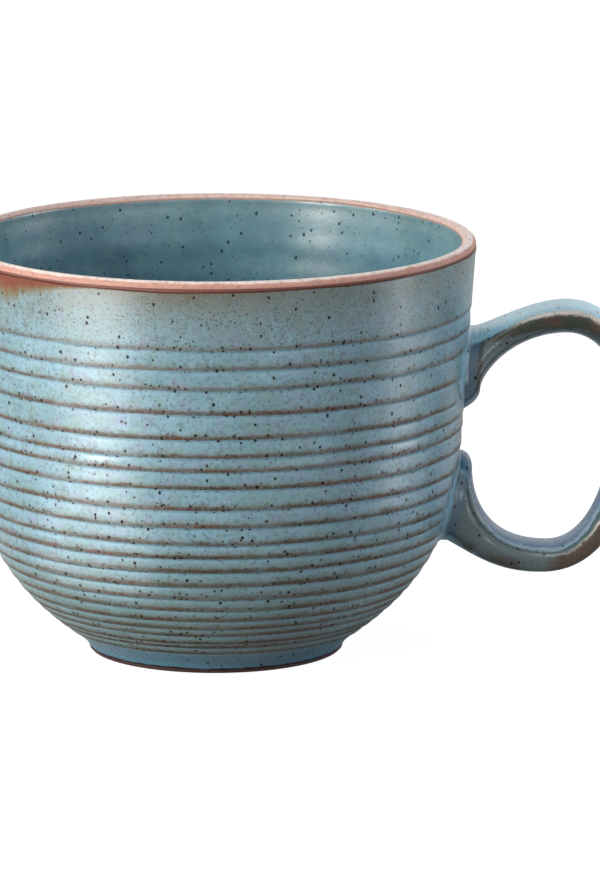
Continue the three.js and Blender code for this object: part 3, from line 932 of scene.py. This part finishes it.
def speckled(glaze, dark_share, soft_share):
    """Lays on two sizes of specks, a little drawn out by the glaze as it ran. Gives the dark ones."""
    soft, _ = glaze.flecks(spacing=0.62, radius=0.19, share=soft_share, seed=5, stretch=RUN_OF_SPECKS)
    dark, rust = glaze.flecks(spacing=1.15, radius=0.29, share=dark_share, seed=6, stretch=RUN_OF_SPECKS)
    glaze.lay(SPECK_GREY, soft * 0.75)
    glaze.lay(IRON_RUST, rust * 0.15)
    glaze.lay(IRON_BLACK, dark * 0.96)
    return dark


def pitted(fine, mid, specks, fine_share=0.5):
    """The relief of a glaze: soft waves, with a pit at every dark speck."""
    return fine * fine_share + (mid + specks * SPECK_PIT)


print(f"specks are drawn out {RUN_OF_SPECKS[2]} times downwards")

# %% [markdown]
# On the wall the glaze follows the ribs. Where it thins over an edge the iron burns through as a brown line,
# crisp below and hazy above, with more specks along it; below the step it pools and is clearer. Under the
# lip the coat is thin, so it turns grey there, brown in front, and red-brown in a scorched patch on one side,
# with a thin burnt line all round. Low down it is greener, with a band of plain blue over the foot. Painting
# all this by hand would fit one view; worked out from the marks, it fits all round.

# %% The outer coat's ground, from the lip down to the foot
THIN_GREY = colour(126, 142, 140)
THIN_OLIVE = colour(112, 96, 66)
DUST_OLIVE = colour(58, 56, 46)
LOW_GREEN = colour(112, 150, 152)
FOOT_BLUE = colour(78, 132, 160)
POOLED_BLUE = colour(146, 194, 218)
THIN_HEIGHTS = (59, 71)
GRAIN_HEIGHTS = (58, 68)
DUST_HEIGHTS = (56, 66)
LOW_GREEN_HEIGHTS = (30, 10)
OLIVE_UNDER_LIP = (9.5, 2.5)
OLIVE_RAGGED = 7
BLUE_OVER_BASE = (5.9, 4.8)
BASE_RAGGED = 0.8
POOL_UNDER_EDGE = (1.7, 0.4)


def wall_ground(glaze, wide, mid, fine):
    """Thin and dusty under the lip, greener low down, blue over the foot and clearer under every edge."""
    height = glaze.height()
    glaze.lay(THIN_GREY, height.fade(*THIN_HEIGHTS) * mid.fade(0.15, 0.75))
    olive = (glaze.mark("from_lip") + mid * OLIVE_RAGGED).fade(*OLIVE_UNDER_LIP)
    olive = olive * (fine.fade(0.3, 0.6) * 0.5 + 0.4)
    glaze.lay(THIN_OLIVE, olive * (glaze.mark("browned") * 0.75 + 0.35))
    grain = glaze.clouds(size=0.32, seed=16).fade(0.48, 0.72)
    glaze.lay(SPECK_GREY, grain * (height.fade(*GRAIN_HEIGHTS) * 0.35 + 0.25))
    dust, _ = glaze.flecks(spacing=0.62, radius=0.22, share=0.65, seed=3)
    glaze.lay(DUST_OLIVE, dust * height.fade(*DUST_HEIGHTS) * 0.8)
    glaze.lay(LOW_GREEN, height.fade(*LOW_GREEN_HEIGHTS) * 0.6)
    foot = (glaze.mark("from_base") + mid * BASE_RAGGED).fade(*BLUE_OVER_BASE)
    glaze.lay(FOOT_BLUE, foot * 0.85)
    pooled = glaze.mark("under_edge").fade(*POOL_UNDER_EDGE) * wide.fade(0.25, 0.6)
    glaze.lay(POOLED_BLUE, pooled * 0.5)


print(f"the coat thins from {THIN_HEIGHTS[0]} mm up and pools {POOL_UNDER_EDGE[0]} mm under the ribs' edges")

# %% The brown lines on the ribs' edges
LINE_OLIVE = colour(60, 48, 27)
LINE_RED = colour(86, 50, 30)
LINE_HAZE = colour(124, 108, 70)
STRONG_LINE_HEIGHTS = (64, 50)
WIDE_LINE_HEIGHTS = (36, 16)
LINE_OVER_EDGE = (0.8, 0.3)
HAZE_OVER_EDGE = (1.5, 0.4)
IRON_OVER_EDGE = (1.3, 0.8)
LINE_UNDER_EDGE = (0.2, 0.05)
IRON_UNDER_EDGE = (0.7, 0.4)
CLEAR_OF_JOINT = (1.0, 1.35)


def rib_lines(glaze, wide, mid, fine):
    """The brown lines with their haze, and the specks. Gives the lines, the dark specks and what is dull."""
    height, under_edge = glaze.height(), glaze.mark("under_edge")
    ragged = (mid - 0.5) * 0.9 + (fine - 0.5) * 0.6
    over_edge = (glaze.mark("over_edge") + ragged) * (1 - height.fade(*WIDE_LINE_HEIGHTS) * 0.3)
    strength = (wide.fade(0.3, 0.6) * 0.4 + 0.6) * (height.fade(*STRONG_LINE_HEIGHTS) * 0.4 + 0.6)
    strength = strength * glaze.mark("from_joint").fade(*CLEAR_OF_JOINT)
    line = over_edge.fade(*LINE_OVER_EDGE) | under_edge.fade(*LINE_UNDER_EDGE)
    line = line * (strength * (fine.fade(0.35, 0.6) * 0.3 + 0.7))
    haze = over_edge.fade(*HAZE_OVER_EDGE) * fine.fade(0.3, 0.55) * strength
    glaze.lay(LINE_HAZE, haze * 0.62)
    tint = glaze.clouds(size=6, seed=14).fade(0.38, 0.62)
    glaze.lay(glaze.mix(tint, LINE_OLIVE, LINE_RED), line)
    dark = speckled(glaze, dark_share=0.4, soft_share=0.7)
    near_line = over_edge.fade(*IRON_OVER_EDGE) | under_edge.fade(*IRON_UNDER_EDGE)
    iron, rust = glaze.flecks(spacing=0.95, radius=0.31, share=0.6, seed=7)
    on_line = iron * near_line * strength.fade(0.2, 0.5)
    glaze.lay(LINE_RED, rust * near_line * 0.2)
    glaze.lay(IRON_BLACK, on_line * 0.92)
    return line, dark, dark | on_line | (line | haze) * 0.6


print(f"brown lines reach {LINE_OVER_EDGE[0]} mm over the ribs' edges, their haze {HAZE_OVER_EDGE[0]} mm")

# %% The burnt ends of the outer coat
SCORCHED_RED = colour(138, 72, 50)
SCORCHED_OLIVE = colour(132, 116, 78)
BURNT_EDGE = colour(70, 26, 18)
CLAY_FOOT = colour(48, 23, 19)
SCORCH_RUNS = (1, 1, 8)
SCORCH_REACH = (8, 1.2)
BURNT_UNDER_LIP = (0.45, 0.2)
BARE_OVER_BASE = (1.1, 0.6)


def burnt_ends(glaze, mid, fine):
    """The scorched patch, the burnt line under the lip and the bare one over the base. Gives what is dull."""
    from_lip = glaze.mark("from_lip")
    streaks = glaze.clouds(size=1.4, seed=15, stretch=SCORCH_RUNS)
    reach = glaze.mark("scorch") * (streaks * SCORCH_REACH[0] + SCORCH_REACH[1]) + (fine * 0.5 + 0.05)
    way_down = from_lip / reach
    scorch = way_down.fade(1.15, 0.5)
    burnt = from_lip.fade(*BURNT_UNDER_LIP)
    bare = (glaze.mark("from_base") + mid * BASE_RAGGED).fade(*BARE_OVER_BASE)
    glaze.lay(glaze.mix(way_down.fade(0.3, 0.75), SCORCHED_RED, SCORCHED_OLIVE), scorch * 0.9)
    glaze.lay(BURNT_EDGE, burnt * 0.9)
    glaze.lay(CLAY_FOOT, bare)
    return burnt | scorch * 0.9, bare


print(f"the burnt line under the lip is {BURNT_UNDER_LIP[0]} mm wide")

# %% The outer coat's finish
BROAD_PATCHES = (1, 1, 0.4)
DULL_UNDER_EDGE = (0.5, 0.2)


def ribbed_glaze():
    glaze = Finish("ribbed_blue_glaze")
    wide = glaze.clouds(size=11, seed=11, stretch=BROAD_PATCHES)
    mid = glaze.clouds(size=2.2, seed=12, detail=3)
    fine = glaze.clouds(size=0.5, seed=13)
    blue_ground(glaze)
    wall_ground(glaze, wide, mid, fine)
    line, dark, dull_lines = rib_lines(glaze, wide, mid, fine)
    dull_lip, dull_base = burnt_ends(glaze, mid, fine)
    dull_step = glaze.mark("under_edge").fade(*DULL_UNDER_EDGE) * 0.7
    dull = dull_lines | dull_lip | (dull_base | dull_step)
    roughness = line * 0.15 + (fine * 0.12 + 0.23)
    return glaze.finish(roughness, pitted(fine, mid, dark), bump_mm=0.03, dull=dull * 0.9)


ribbed_glaze_finish = ribbed_glaze()

# %% Where the coat is scorched and browned, and where the joints are
SCORCH_TURN = math.radians(-146)
SCORCH_SPREAD = math.radians(16)
BROWNED_TURN = math.radians(-98)
BROWNED_SPREAD = math.radians(26)


def places_of(piece):
    """A piece's points as (out along the handle, across, up) from the axis, in millimetres."""
    places = np.empty(len(piece.data.vertices) * 3)
    piece.data.vertices.foreach_get("co", places)
    return places.reshape(-1, 3) / MM - [AXIS_X, 0, 0]


def add_mark(piece, name, values):
    piece.data.attributes.new(name, "FLOAT", "POINT").data.foreach_set("value", values)
    print(f"{piece.name}: {name} from {values.min():.2f} to {values.max():.2f}")


def sector(places, turn, spread):
    """1 in the middle of a sector round the axis, 0 away from it."""
    away = np.arctan2(places[:, 1], places[:, 0]) - turn
    away = (away + math.pi) % (2 * math.pi) - math.pi
    return np.exp(-((away / spread) ** 2))


def from_joint(places):
    """Distance from the middle of the nearer joint: 1 at the fillet's edge."""
    nearest = np.full(len(places), FAR_AWAY)
    for outer, inner in ((strap_outer[0], strap_inner[0]), (strap_outer[-1], strap_inner[-1])):
        across = places[:, 1] / (STRAP_END_WIDTH / 2 + BEAD_SIDE_SPREAD)
        up = (places[:, 2] - (outer[1] + inner[1]) / 2) / (abs(outer[1] - inner[1]) / 2 + BEAD_ON_WALL)
        nearest = np.minimum(nearest, np.where(places[:, 0] > 0, np.hypot(across, up), FAR_AWAY))
    return nearest


coat_places = places_of(outer_coat_piece)
add_mark(outer_coat_piece, "scorch", sector(coat_places, SCORCH_TURN, SCORCH_SPREAD))
add_mark(outer_coat_piece, "browned", sector(coat_places, BROWNED_TURN, BROWNED_SPREAD))
add_mark(outer_coat_piece, "from_joint", from_joint(coat_places))

# %% [markdown]
# The strap wears the same glaze, but it has no ribs. On the bow the glaze ran off the ridges, so a pale line
# lies on the ridge itself, thin glaze with a painted highlight on it, and the clay burns through below it as
# a dark band, redder towards the bow's lower half. That band thins out towards the wall and runs down the
# flare's crest. The sides are dusky, the inner face is a clear blue with a painted highlight along the bow's
# lower half and on the lower flare's inner ridge. The marks on the strap say how far along the bow a point
# lies, as a share of its length, and how many millimetres it is past the outer and the inner ridge.

# %% The strap's sides and its inner face
INNER_BLUE = colour(84, 134, 176)
PAINTED_HIGHLIGHT_BLUE = colour(176, 208, 230)
SIDE_BLUE = colour(66, 98, 122)
SIDE_GREEN = colour(92, 110, 108)
BLUE_NEAR_WALL = (3.2, 1.8)
PAINTED_HIGHLIGHT_ON_BOW = (0.62, 0.88)
HIGHLIGHT_ON_LOWER_FLARE = (0.84, 0.88)


def strap_sides(glaze, along, past_outer, past_inner):
    """Dusky sides, bluest where they meet the wall, and the clear inner face, with a painted highlight along
    the lower arm and on the lower flare's inner ridge.
    """
    dusk = glaze.mix(glaze.mark("from_wall").fade(*BLUE_NEAR_WALL), SIDE_GREEN, SIDE_BLUE)
    glaze.lay(dusk, past_outer.fade(-0.1, 0.7) * past_inner.fade(0.3, -0.6) * 0.9)
    glaze.lay(INNER_BLUE, past_inner.fade(-0.3, 0.6) * 0.85)
    # Painted highlight: a pale blue band on the inner face of the lower arm, and a pale line on the lower
    # flare's inner ridge.
    painted_highlight = along.between(*PAINTED_HIGHLIGHT_ON_BOW, soft=0.05) * past_inner.band(middle=0.3, reach=0.9)
    lower_ridge_highlight = along.fade(*HIGHLIGHT_ON_LOWER_FLARE) * past_inner.band(middle=-0.35, reach=0.5)
    glaze.lay(PAINTED_HIGHLIGHT_BLUE, painted_highlight * 0.8)
    glaze.lay(PAINTED_HIGHLIGHT_BLUE, lower_ridge_highlight * 0.5)


print(f"the bright streak lies at {PAINTED_HIGHLIGHT_ON_BOW[0]:.0%} to {PAINTED_HIGHLIGHT_ON_BOW[1]:.0%} of the strap's length")

# %% Where iron burns through on the strap
UPPER_BURN_STARTS = (0.03, 0.06)
UPPER_BURN_ENDS = (0.55, 0.45)
UPPER_BURN_WIDENS = (0.04, 0.14)
UPPER_BURN_WIDTHS = (1.6, 3.6)
CREST_FROM_WALL = 2.7
CREST_ENDS = (0.14, 0.09)
BOW_BURN = (0.47, 0.77)
BOW_BURN_ACROSS = (-1.2, 3.3)
LOWER_BURN = (0.82, 0.95)
LOWER_BURN_ACROSS = (-0.5, 2.4)


def strap_burns(glaze, along, past_outer, patches):
    """Burns under the upper ridge, down the flare's crest, round the bow and in patches below."""
    widening = dict(enumerate((along, *UPPER_BURN_WIDENS, *UPPER_BURN_WIDTHS)))
    width = glaze.node("ShaderNodeMapRange", widening)
    upper = along.fade(*UPPER_BURN_STARTS) * along.fade(*UPPER_BURN_ENDS) * past_outer.fade(0.2, 0.8)
    upper = upper * (past_outer - width).fade(0.5, -0.3)
    crest = glaze.mark("from_wall").band(CREST_FROM_WALL, reach=0.6) * along.fade(*CREST_ENDS)
    crest = crest * past_outer.fade(-0.2, 0.4)
    bow = along.between(*BOW_BURN, soft=0.02) * past_outer.between(*BOW_BURN_ACROSS, soft=0.5)
    lower = along.between(*LOWER_BURN, soft=0.02) * past_outer.between(*LOWER_BURN_ACROSS, soft=0.6)
    lower = lower * patches.fade(0.44, 0.56)
    return (upper | bow) | (crest * 0.85 | lower * 0.75)


print(f"the bow burns from {BOW_BURN[0]:.0%} to {BOW_BURN[1]:.0%} of the strap's length")

# %% The strap's finish
STRAP_BLUE = colour(172, 224, 242)
SIDE_OLIVE = colour(66, 70, 54)
SIDE_RED = colour(112, 74, 54)
# The ridges' beige is partly thin glaze over paler clay and partly a painted highlight.
RIDGE_BEIGE_AND_HIGHLIGHT = colour(232, 216, 202)
REDDER_ON_BOW = (0.55, 0.72)
UPPER_PALE_RIDGE_AND_HIGHLIGHT = (0.11, 0.5)
BOW_PALE_RIDGE_AND_HIGHLIGHT = (0.5, 0.74)
BURN_DULLNESS = 0.45
INNER_DULLNESS = 0.75


def strap_glaze():
    glaze = Finish("strap_blue_glaze")
    mid = glaze.clouds(size=2.2, seed=21, detail=3)
    fine = glaze.clouds(size=0.5, seed=22)
    patches = glaze.clouds(size=4, seed=23)
    along = glaze.mark("along_strap")
    ragged = (mid - 0.5) * 1.6 + (fine - 0.5) * 0.8
    past_outer = glaze.mark("past_ridge") + ragged
    past_inner = glaze.mark("past_inner_ridge") + ragged
    blue_ground(glaze)
    glaze.lay(STRAP_BLUE, 0.75)
    strap_sides(glaze, along, past_outer, past_inner)
    burns = strap_burns(glaze, along, past_outer, patches)
    redder = patches.fade(0.55, 0.68) | along.fade(*REDDER_ON_BOW) * 0.6
    glaze.lay(glaze.mix(redder, SIDE_OLIVE, SIDE_RED), burns * 0.92)
    # Pale line on the outer ridges: partly thin glaze, partly a painted highlight where the rounded edge
    # catches the light.
    upper_pale_ridge_and_highlight = along.between(*UPPER_PALE_RIDGE_AND_HIGHLIGHT, soft=0.03) * past_outer.band(middle=0.6, reach=0.9)
    bow_pale_ridge_and_highlight = along.between(*BOW_PALE_RIDGE_AND_HIGHLIGHT, soft=0.04) * past_outer.band(middle=3.5, reach=0.5)
    pale_ridge_and_highlight = (upper_pale_ridge_and_highlight | bow_pale_ridge_and_highlight * 0.6) * fine.fade(0.2, 0.5)
    glaze.lay(RIDGE_BEIGE_AND_HIGHLIGHT, pale_ridge_and_highlight * 0.9)
    dark = speckled(glaze, dark_share=0.34, soft_share=0.4)
    bare_burns = burns * (BURN_DULLNESS - pale_ridge_and_highlight * BURN_DULLNESS)
    dull = dark * 0.9 | (bare_burns | past_inner.fade(0, 1) * INNER_DULLNESS)
    return glaze.finish(fine * 0.12 + 0.22, pitted(fine, mid, dark), bump_mm=0.04, dull=dull)


strap_glaze_finish = strap_glaze()

# %% [markdown]
# The joints hold the thickest glaze of all, so they are glossy, and where they run out on the wall they are
# the clearest blue. Towards the strap they take on the dusky blue of its sides. One mark across the fillet is
# enough to tell the two apart.

# %% The joints' finish
BEAD_BLUE = colour(164, 212, 238)
BEAD_DEEP = colour(92, 124, 146)


def bead_glaze():
    glaze = Finish("pooled_bead_glaze", SIDE_BLUE)
    mid = glaze.clouds(size=2.4, seed=31, detail=3)
    fine = glaze.clouds(size=0.5, seed=32)
    glaze.lay(BEAD_DEEP, mid.fade(0.36, 0.64))
    across = glaze.mark("across_bead") + (mid - 0.5) * 0.15
    glaze.lay(BEAD_BLUE, across.fade(0.3, 0.55))
    glaze.lay(SKY_BLUE, fine.fade(0.4, 0.8) * 0.3)
    dark = speckled(glaze, dark_share=0.2, soft_share=0.3)
    return glaze.finish(fine * 0.12 + 0.2, pitted(fine, mid, dark, fine_share=0.4), bump_mm=0.04)


bead_finish = bead_glaze()

# %% [markdown]
# The liner is a glaze poured thicker and smoother: a deeper teal, greyer near the lip, with dark specks whose
# edges have melted. A thin orange-brown line marks where it meets the bare lip. It has no ribs to follow, so
# the distance from the lip is the only mark it needs.

# %% The liner's finish
LINER_TEAL = colour(112, 158, 174)
LINER_DEEP = colour(94, 138, 154)
LINER_GREEN = colour(122, 164, 168)
LINER_SPECK = colour(38, 50, 52)
LINER_GREY = colour(138, 152, 146)
LIP_ORANGE = colour(168, 112, 86)
GREY_UNDER_LIP = (12, 3)
ORANGE_UNDER_LIP = (0.9, 0.35)


def liner_glaze():
    glaze = Finish("teal_liner_glaze", LINER_TEAL)
    mid = glaze.clouds(size=2.0, seed=43, detail=3)
    fine = glaze.clouds(size=0.5, seed=44)
    from_lip = glaze.mark("from_lip")
    glaze.lay(LINER_DEEP, glaze.clouds(size=10, seed=41).fade(0.36, 0.64))
    glaze.lay(LINER_GREEN, glaze.clouds(size=3.5, seed=42, detail=3).fade(0.45, 0.7) * 0.6)
    glaze.lay(LINER_DEEP, mid.fade(0.45, 0.65) * 0.6)
    glaze.lay(LINER_GREY, (from_lip + mid * 8).fade(*GREY_UNDER_LIP) * fine.fade(0.3, 0.8))
    small, _ = glaze.flecks(spacing=0.8, radius=0.2, share=0.7, seed=8, stretch=RUN_OF_SPECKS)
    large, _ = glaze.flecks(spacing=1.4, radius=0.29, share=0.8, seed=9, stretch=RUN_OF_SPECKS)
    glaze.lay(LINER_SPECK, small * 0.5)
    glaze.lay(LINER_SPECK, large * 0.85)
    glaze.lay(LIP_ORANGE, (from_lip + mid * 0.6).fade(*ORANGE_UNDER_LIP))
    return glaze.finish(fine * 0.14 + 0.26, pitted(fine, mid, large), bump_mm=0.04, dull=large * 0.9)


liner_finish = liner_glaze()

# %% [markdown]
# The bare clay is matt and sandy. On the lip it is salmon pink outside and paler towards the inner edge,
# where it was wiped clean; over the lip's top that pale wiped clay turns near white, a painted highlight. The
# foot ring is nearly black-brown, because the base of a cup picks up more iron.
# Sand could be scattered as grains, but at this size two grades of noise in colour and relief look the same.

# %% The clay's finish
CLAY_SALMON = colour(204, 150, 136)
CLAY_PALE_AND_HIGHLIGHT = colour(246, 232, 224)
CLAY_INNER = colour(218, 188, 178)
CLAY_BURNT = colour(96, 38, 27)
CLAY_GRAIN = colour(168, 118, 104)
CLAY_SAND = colour(236, 214, 202)
CLAY_FOOT_HEIGHTS = (8, 4)


def bare_clay():
    clay = Finish("bare_sandy_clay", CLAY_SALMON)
    wide = clay.clouds(size=4, seed=51)
    mid = clay.clouds(size=0.9, seed=52, detail=3)
    fine = clay.clouds(size=0.25, seed=53, detail=3)
    across_lip = clay.mark("across_lip")
    across = across_lip + (wide - 0.5) * 0.25
    # Near-white over the lip's top: partly the wiped clay's paler colour, partly a painted highlight.
    wiped_and_highlight = across.fade(0.28, 0.42)
    clay.lay(CLAY_PALE_AND_HIGHLIGHT, wiped_and_highlight)
    clay.lay(CLAY_INNER, across.fade(0.62, 0.76))
    clay.lay(CLAY_GRAIN, mid.fade(0.45, 0.7) * 0.5)
    clay.lay(CLAY_SAND, fine.fade(0.5, 0.75) * 0.5)
    clay.lay(CLAY_BURNT, (across_lip + (mid - 0.5) * 0.06).fade(0.07, 0.02) * 0.85)
    foot_clay = clay.mix(mid.fade(0.45, 0.75) * 0.6, CLAY_FOOT, CLAY_BURNT)
    clay.lay(foot_clay, clay.height().fade(*CLAY_FOOT_HEIGHTS))
    iron, _ = clay.flecks(spacing=0.8, radius=0.14, share=0.5, seed=10)
    clay.lay(CLAY_BURNT, iron * 0.7)
    roughness = fine * 0.2 + (wiped_and_highlight * -0.32 + 0.6)
    return clay.finish(roughness, fine + mid * 0.6, bump_mm=0.06, ior=CLAY_IOR)


clay_finish = bare_clay()

# %% [markdown]
# Putting the pieces in the frame. Each piece gets its finish, rides on the cup's one body, and says which
# solids of the frame it stands for. The table also lists which of the record's finishes each piece has.

# %% Dress the pieces
DRESSED = (
    (clay_body_piece, clay_finish, "bare_stoneware", ("cup_body",)),
    (outer_coat_piece, ribbed_glaze_finish, "pale_blue_glaze", ("outer_glaze",)),
    (liner_piece, liner_finish, "liner_glaze", ("inner_glaze",)),
    (foot_coat_piece, liner_finish, "liner_glaze", ("foot_glaze",)),
    (strap_piece, strap_glaze_finish, "pale_blue_glaze", ("handle", "handle_glaze")),
    (upper_bead_piece, bead_finish, "luting_slip", ("upper_slip_joint",)),
    (lower_bead_piece, bead_finish, "luting_slip", ("lower_slip_joint",)),
)

for piece, finish, slot, nodes in DRESSED:
    piece.data.materials.append(finish)
    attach(piece, "root")
    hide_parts(*nodes)
    print(f"{piece.name} stands for {', '.join(nodes)}")

# %% [markdown]
# The stage. The cup stands on a pale floor in front of white. What the camera sees of the floor and the sky
# is white, and so is what the gloss reflects, but the light that they throw on the cup is weaker, because a
# white room all round would wash out its colour. Light Path tells these kinds of rays apart. The floor mixes
# its white with a lit surface, so that it keeps the cup's shadow.

# %% Floor
FLOOR_SIZE = 6.0
FLOOR_DROP = 0.0002
FLOOR_WHITE = 1.2
FLOOR_SHOWS_LIGHT = 0.2
FLOOR_ROUGHNESS = 0.9
FLOOR_GREY = colour(120, 120, 120)
WHITE = (1.0, 1.0, 1.0, 1.0)


def seen_as_white(nodes, kinds=("Is Camera Ray", "Is Glossy Ray", "Is Transmission Ray")):
    """1 for the kinds of rays that see the white, 0 for light."""
    path = nodes.tree.nodes.new("ShaderNodeLightPath")
    seen = Value(nodes, path.outputs[kinds[0]])
    for kind in kinds[1:]:
        seen = seen | path.outputs[kind]
    return seen


def floor():
    half = FLOOR_SIZE / 2
    mesh = bpy.data.meshes.new("floor")
    corners = [(-half, -half), (half, -half), (half, half), (-half, half)]
    mesh.from_pydata([(x, y, -FLOOR_DROP) for x, y in corners], [], [(0, 1, 2, 3)])
    piece = in_scene("floor", mesh)
    finish = Finish("pale_floor")
    ground = finish.mix(seen_as_white(finish), FLOOR_GREY, WHITE)
    surface = {"Base Color": ground, "Roughness": FLOOR_ROUGHNESS, "Specular IOR Level": 0.0}
    for socket, value in surface.items():
        finish.feed(finish.shader.inputs[socket], value)
    white = finish.node("ShaderNodeEmission", {"Color": WHITE, "Strength": FLOOR_WHITE})
    share = seen_as_white(finish, ("Is Camera Ray",)) * (1 - FLOOR_SHOWS_LIGHT)
    mixed = finish.node("ShaderNodeMixShader", {0: share, 1: finish.shader.outputs[0], 2: white})
    finish.feed(finish.tree.nodes["Material Output"].inputs["Surface"], mixed)
    mesh.materials.append(finish.material)


floor()
print(f"floor {FLOOR_SIZE} m wide")

# %% Sky
SKY_LIGHT = 0.07
SKY_WHITE = 1.0


def sky():
    world = bpy.data.worlds.new("white_room")
    world.use_nodes = True
    nodes = Nodes(world.node_tree)
    light = nodes.tree.nodes["Background"]
    light.inputs["Color"].default_value = WHITE
    light.inputs["Strength"].default_value = SKY_LIGHT
    seen = nodes.node("ShaderNodeBackground", {"Color": WHITE, "Strength": SKY_WHITE})
    mixed = nodes.node("ShaderNodeMixShader", {0: seen_as_white(nodes), 1: light.outputs[0], 2: seen})
    nodes.feed(nodes.tree.nodes["World Output"].inputs["Surface"], mixed)
    bpy.context.scene.world = world


sky()
bpy.context.scene.view_settings.view_transform = "Standard"
print(f"sky light {SKY_LIGHT}, seen as {SKY_WHITE}")

# %% [markdown]
# The lamps. A tall, slightly warm softbox stands in front on the left and draws the broad, soft streak down
# the ribs, and a weaker one beside it lights the cup's edge. Cooler boxes on the right, low in front and
# above keep the rest from going flat. The one at the back is hidden from the gloss, because it would glare
# on the handle. Area lamps of the softboxes' real size give the right softness; a point lamp would leave a
# small hard glint.

# %% Softboxes
CUP_MIDDLE = Vector((AXIS_X * MM, 0, HEIGHT / 2 * MM))
WARM = (1.0, 0.96, 0.89)
COOL = (0.93, 0.97, 1.0)


def area_lamp(name, width, height, watts, tint=WHITE[:3]):
    lamp = bpy.data.lights.new(name, "AREA")
    lamp.shape = "RECTANGLE"
    lamp.size = width
    lamp.size_y = height
    lamp.energy = watts
    lamp.color = tint
    return in_scene(name, lamp)


def level_way(turn, distance):
    """How far a lamp is off, to the right and away, at a turn in degrees from the camera's side."""
    return math.sin(math.radians(turn)) * distance, -math.cos(math.radians(turn)) * distance


def softbox(name, turn, rise, distance, width, height, watts, tint):
    """A lamp aimed at the cup: turn in degrees to the right of the camera's side, rise above level."""
    box = area_lamp(name, width, height, watts, tint)
    flat = math.cos(math.radians(rise)) * distance
    way = Vector((*level_way(turn, flat), math.sin(math.radians(rise)) * distance))
    box.location = CUP_MIDDLE + way
    box.rotation_euler = (-way).to_track_quat("-Z", "Y").to_euler()
    print(f"{name}: {watts} W, {distance} m away")
    return box


softbox("left_softbox", turn=-53, rise=11, distance=0.9, width=0.16, height=0.45, watts=7.2, tint=WARM)
softbox("side_softbox", turn=-88, rise=8, distance=0.9, width=0.12, height=0.45, watts=2.2, tint=WARM)
softbox("front_softbox", turn=35, rise=6, distance=1.2, width=0.5, height=0.16, watts=1.4, tint=COOL)
back_fill = softbox("back_softbox", turn=165, rise=12, distance=1.2, width=0.5, height=0.4, watts=1.4,
                    tint=COOL)
back_fill.visible_glossy = False
softbox("right_softbox", turn=96, rise=8, distance=0.9, width=0.12, height=0.45, watts=3.0, tint=COOL)
softbox("top_softbox", turn=-20, rise=78, distance=0.8, width=0.6, height=0.6, watts=3.0, tint=COOL)

# %% [markdown]
# Cards on the table. A white card that lies beside a cup catches a lamp's light, and the lower half of the
# cup mirrors it. Real cards would need a stronger lamp and would be in the picture, so each card here is a
# lamp that lies on the table and is seen only in the gloss.

# %% Bright cards on the table
CARD_HEIGHT = 0.001


def table_card(name, turn, near, far, width, brightness):
    """A bright strip on the table, from near to far off the cup's axis, seen only in the gloss."""
    length = far - near
    card = area_lamp(name, width, length, brightness * math.pi * width * length)
    right, away = level_way(turn, (near + far) / 2)
    card.location = (AXIS_X * MM + right, away, CARD_HEIGHT)
    card.rotation_euler = (math.pi, 0, math.radians(-turn))
    card.visible_camera = False
    card.visible_diffuse = False
    print(f"{name}: {width} m wide, {near} to {far} m from the cup's axis")


table_card("left_card_near", turn=-50, near=0.045, far=0.1, width=0.05, brightness=2.4)
table_card("left_card_middle", turn=-50, near=0.1, far=0.2, width=0.14, brightness=3.6)
table_card("left_card_far", turn=-50, near=0.2, far=0.34, width=0.2, brightness=5.6)
table_card("right_card", turn=86.5, near=0.15, far=0.5, width=0.05, brightness=2.8)

# %% [markdown]
# The camera stands well over a metre in front of the cup and looks down at it, through a long lens, so
# the rim is a flat ellipse and the sides hardly converge. The picture is upright, 600 by 870, so the sensor's
# long side stands upright too.

# %% Camera
CAMERA_BACK = 1.3343
CAMERA_UP = 0.3108
CAMERA_TILT = 11.547
CAMERA_TURN = 0.643
CAMERA_LENS = 317.2
CAMERA_SENSOR = 36

camera_data = bpy.data.cameras.new("camera")
camera_data.lens = CAMERA_LENS
camera_data.sensor_width = CAMERA_SENSOR
camera = in_scene("camera", camera_data)
camera.location = (AXIS_X * MM, -CAMERA_BACK, CAMERA_UP)
camera.rotation_euler = (math.radians(90 - CAMERA_TILT), 0, math.radians(-CAMERA_TURN))
bpy.context.scene.camera = camera
print(f"camera {CAMERA_BACK} m back and {CAMERA_UP} m up, {CAMERA_LENS} mm lens")
